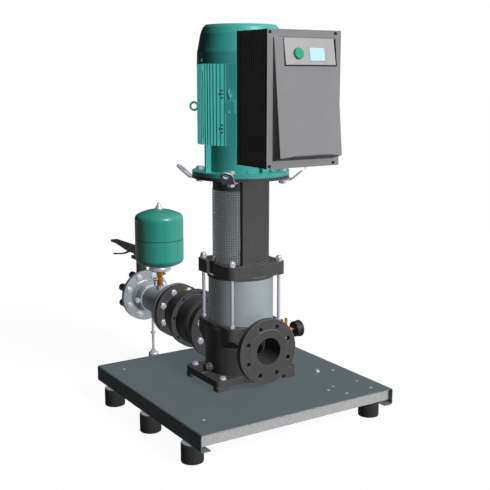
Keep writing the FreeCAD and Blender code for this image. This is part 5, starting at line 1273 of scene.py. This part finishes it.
@dataclass
class Studio:
    """Pale floor, soft light and the photograph's camera.

    Places here are in metres of the row frame, angles in degrees, lens and sensor in millimetres.
    """
    eye: tuple[float, float, float] = (-1.6631, -2.98815, 1.2219)
    look: tuple[float, float, float] = (0.52876, 0.82737, -0.18932)
    lens: float = 65.03
    sensor: float = 36.0
    shift: float = 0.001
    floor_reach: float = 40.0
    floor_white: float = 0.75
    floor_lit: str = "a0a0a0"
    floor_cast: str = "303030"
    floor_way: tuple[float, float, float] = (0.75, -0.66, 0.0)
    floor_span: tuple[float, float] = (-0.5, 3.0)
    floor_mirrored: tuple[float, float] = (0.04, 0.7)
    key_turn: float = -76.0
    key_rise: float = 34.0
    key_spread: float = 18.0
    key_strength: float = 0.5
    open_strength: float = 3.2
    sky_way: tuple[float, float, float] = (0.62, -0.62, 0.48)
    sky_span: tuple[float, float] = (0.0, 0.75)
    sky_mirrored: tuple[float, float] = (0.05, 1.0)
    fill: float = 0.06

    def build(self) -> None:
        """Sets camera, floor, lamps and world."""
        self.set_camera()
        self.lay_floor()
        self.hang_lamp("key", self.key_strength, True)
        self.hang_lamp("open_key", self.open_strength, False)
        self.light_world()
        bpy.context.scene.view_settings.view_transform = "Standard"

    def set_camera(self) -> None:
        """Camera at the photograph's viewpoint."""
        data = bpy.data.cameras.new("camera")
        data.lens = self.lens
        data.sensor_width = self.sensor
        data.shift_x = self.shift
        data.clip_end = 100.0
        camera = stand("camera", data)
        camera.location = self.eye
        camera.rotation_euler = Vector(self.look).to_track_quat("-Z", "Y").to_euler()
        bpy.context.scene.camera = camera

    def lay_floor(self) -> None:
        """Plain pale floor that shows white, takes the shadow and is mirrored darker on the left."""
        bm = bmesh.new()
        bmesh.ops.create_grid(bm, x_segments=1, y_segments=1, size=self.floor_reach)
        mesh = bpy.data.meshes.new("floor")
        bm.to_mesh(mesh)
        bm.free()
        made = bpy.data.materials.new("pale_studio_floor")
        tree = bare_tree(made)
        place = add_node(tree, "ShaderNodeTexCoord").outputs["Object"]
        path = add_node(tree, "ShaderNodeLightPath").outputs
        mirrored = self.slope(tree, place, self.floor_way, self.floor_span, self.floor_mirrored)
        gloss = add_node(tree, "ShaderNodeMath", {0: path["Is Glossy Ray"], 1: mirrored},
                         operation="MULTIPLY")
        white = add_node(tree, "ShaderNodeMath", {0: self.seen(tree), 1: self.floor_white},
                         operation="MULTIPLY")
        glow = add_node(tree, "ShaderNodeMath", {0: white.outputs["Value"], 1: gloss.outputs["Value"]},
                        operation="ADD")
        cast = add_node(tree, "ShaderNodeMix", {"Factor": path["Is Diffuse Ray"],
                                                "A": linear(self.floor_lit),
                                                "B": linear(self.floor_cast)}, data_type="RGBA")
        shader = add_node(tree, "ShaderNodeBsdfPrincipled", {
            "Base Color": cast.outputs["Result"], "Roughness": 0.9, "Specular IOR Level": 0.0,
            "Emission Color": WHITE, "Emission Strength": glow.outputs["Value"]})
        add_node(tree, "ShaderNodeOutputMaterial", {"Surface": shader.outputs["BSDF"]})
        mesh.materials.append(made)
        floor = stand("floor", mesh)

    def slope(self, tree: Tree, place: Socket, way: tuple[float, float, float],
              span: tuple[float, float], ends: tuple[float, float]) -> Socket:
        """Value that changes evenly along a direction.

        Args:
            tree: The node tree.
            place: Place or direction that is measured.
            way: Direction of the change.
            span: Where along it the change starts and ends.
            ends: Value at the start and at the end.

        Returns:
            The value's socket.
        """
        along = add_node(tree, "ShaderNodeVectorMath", {0: place, 1: way}, operation="DOT_PRODUCT")
        return add_node(tree, "ShaderNodeMapRange", {
            "Value": along.outputs["Value"], "From Min": span[0], "From Max": span[1],
            "To Min": ends[0], "To Max": ends[1]}).outputs["Result"]

    def seen(self, tree: Tree) -> Socket:
        """One for rays that the camera sends, straight or through glass, else zero."""
        path = add_node(tree, "ShaderNodeLightPath").outputs
        return add_node(tree, "ShaderNodeMath", {0: path["Is Camera Ray"], 1: path["Is Transmission Ray"]},
                        operation="MAXIMUM").outputs["Value"]

    def hang_lamp(self, name: str, strength: float, shades: bool) -> None:
        """Broad soft lamp, high on the right of the camera.

        Args:
            name: Name of the lamp.
            strength: Its strength.
            shades: Whether it throws a shadow; the open one reaches the pipework behind the pump.
        """
        lamp = bpy.data.lights.new(name, "SUN")
        lamp.energy = strength
        lamp.angle = math.radians(self.key_spread)
        lamp.use_shadow = shades
        turn, rise = math.radians(self.key_turn), math.radians(self.key_rise)
        towards = Vector((math.cos(turn) * math.cos(rise), math.sin(turn) * math.cos(rise), math.sin(rise)))
        stand(name, lamp).rotation_euler = towards.to_track_quat("Z", "Y").to_euler()

    def light_world(self) -> None:
        """White backdrop, darker on the left for reflections, and a weak even fill."""
        world = bpy.data.worlds.new("studio")
        bpy.context.scene.world = world
        tree = bare_tree(world)
        way = add_node(tree, "ShaderNodeTexCoord").outputs["Generated"]
        path = add_node(tree, "ShaderNodeLightPath").outputs
        bright = self.slope(tree, way, self.sky_way, self.sky_span, self.sky_mirrored)
        soft = add_node(tree, "ShaderNodeMath", {0: bright, 1: self.fill}, operation="MULTIPLY")
        shiny = add_node(tree, "ShaderNodeMix", {"Factor": path["Is Glossy Ray"], "A": soft.outputs["Value"],
                                                 "B": bright}, data_type="FLOAT")
        strength = add_node(tree, "ShaderNodeMix", {"Factor": self.seen(tree),
                                                    "A": shiny.outputs["Result"], "B": 1.0},
                            data_type="FLOAT")
        back = add_node(tree, "ShaderNodeBackground", {"Color": WHITE,
                                                       "Strength": strength.outputs["Result"]})
        add_node(tree, "ShaderNodeOutputWorld", {"Surface": back.outputs["Background"]})


def booster_set() -> list[SubAssembly]:
    """The sub-assemblies in the order of building.

    Returns:
        One object for each group of the set.
    """
    return [
        BaseFrame(("base_plate", "end_skirts", "rubber_feet", "base_bolts")),
        PumpEnd(("pump_casing", "casing_plugs", "outer_sleeve", "stage_bowls", "impellers", "pump_shaft",
                 "shaft_seal", "tie_rods", "tie_rod_nuts"),
                {"tie_rods": ZINC_PLATED, "casing_plugs": COATED_IRON}),
        Lantern(("lantern", "coupling", "guard_left", "guard_right", "lifting_lugs", "motor_bolts")),
        Motor(("motor_end_shields", "motor_frame", "fan_cover", "stator_core", "motor_rotor",
               "motor_bearings", "cooling_fan", "motor_eyes"), {"motor_eyes": TEAL_ENAMEL}),
        Inverter(("inverter_adapter", "inverter_housing", "inverter_cover", "control_panel",
                  "display_window", "knob_spindle", "control_knob", "cover_screws")),
        CheckValve(("check_inlet_body", "check_outlet_body", "check_ring_bolts", "check_disc",
                    "check_spring", "check_plug")),
        OutletPipe(("discharge_pipe", "flange_gaskets", "flange_bolts", "pipe_support")),
        LugValve(("butterfly_body", "butterfly_liner", "butterfly_disc", "valve_lever", "lever_trigger"),
                 {"butterfly_body": LEVER_ENAMEL}),
        DiaphragmVessel(("vessel_shells", "vessel_membrane", "vessel_fittings", "vessel_tap", "tap_handle"),
                        {"vessel_fittings": ZINC_PLATED}),
        GaugeSet(("gauge_case", "gauge_glass", "gauge_needle", "gauge_cock", "cock_handle")),
    ]


def main() -> None:
    """Builds the groups in order, then the studio."""
    logging.basicConfig(level=logging.INFO, format="%(name)s %(message)s")
    for group in booster_set():
        LOG.info("group %s", type(group).__name__)
        group.build()
    Studio().build()


if __name__ == "__main__":
    main()
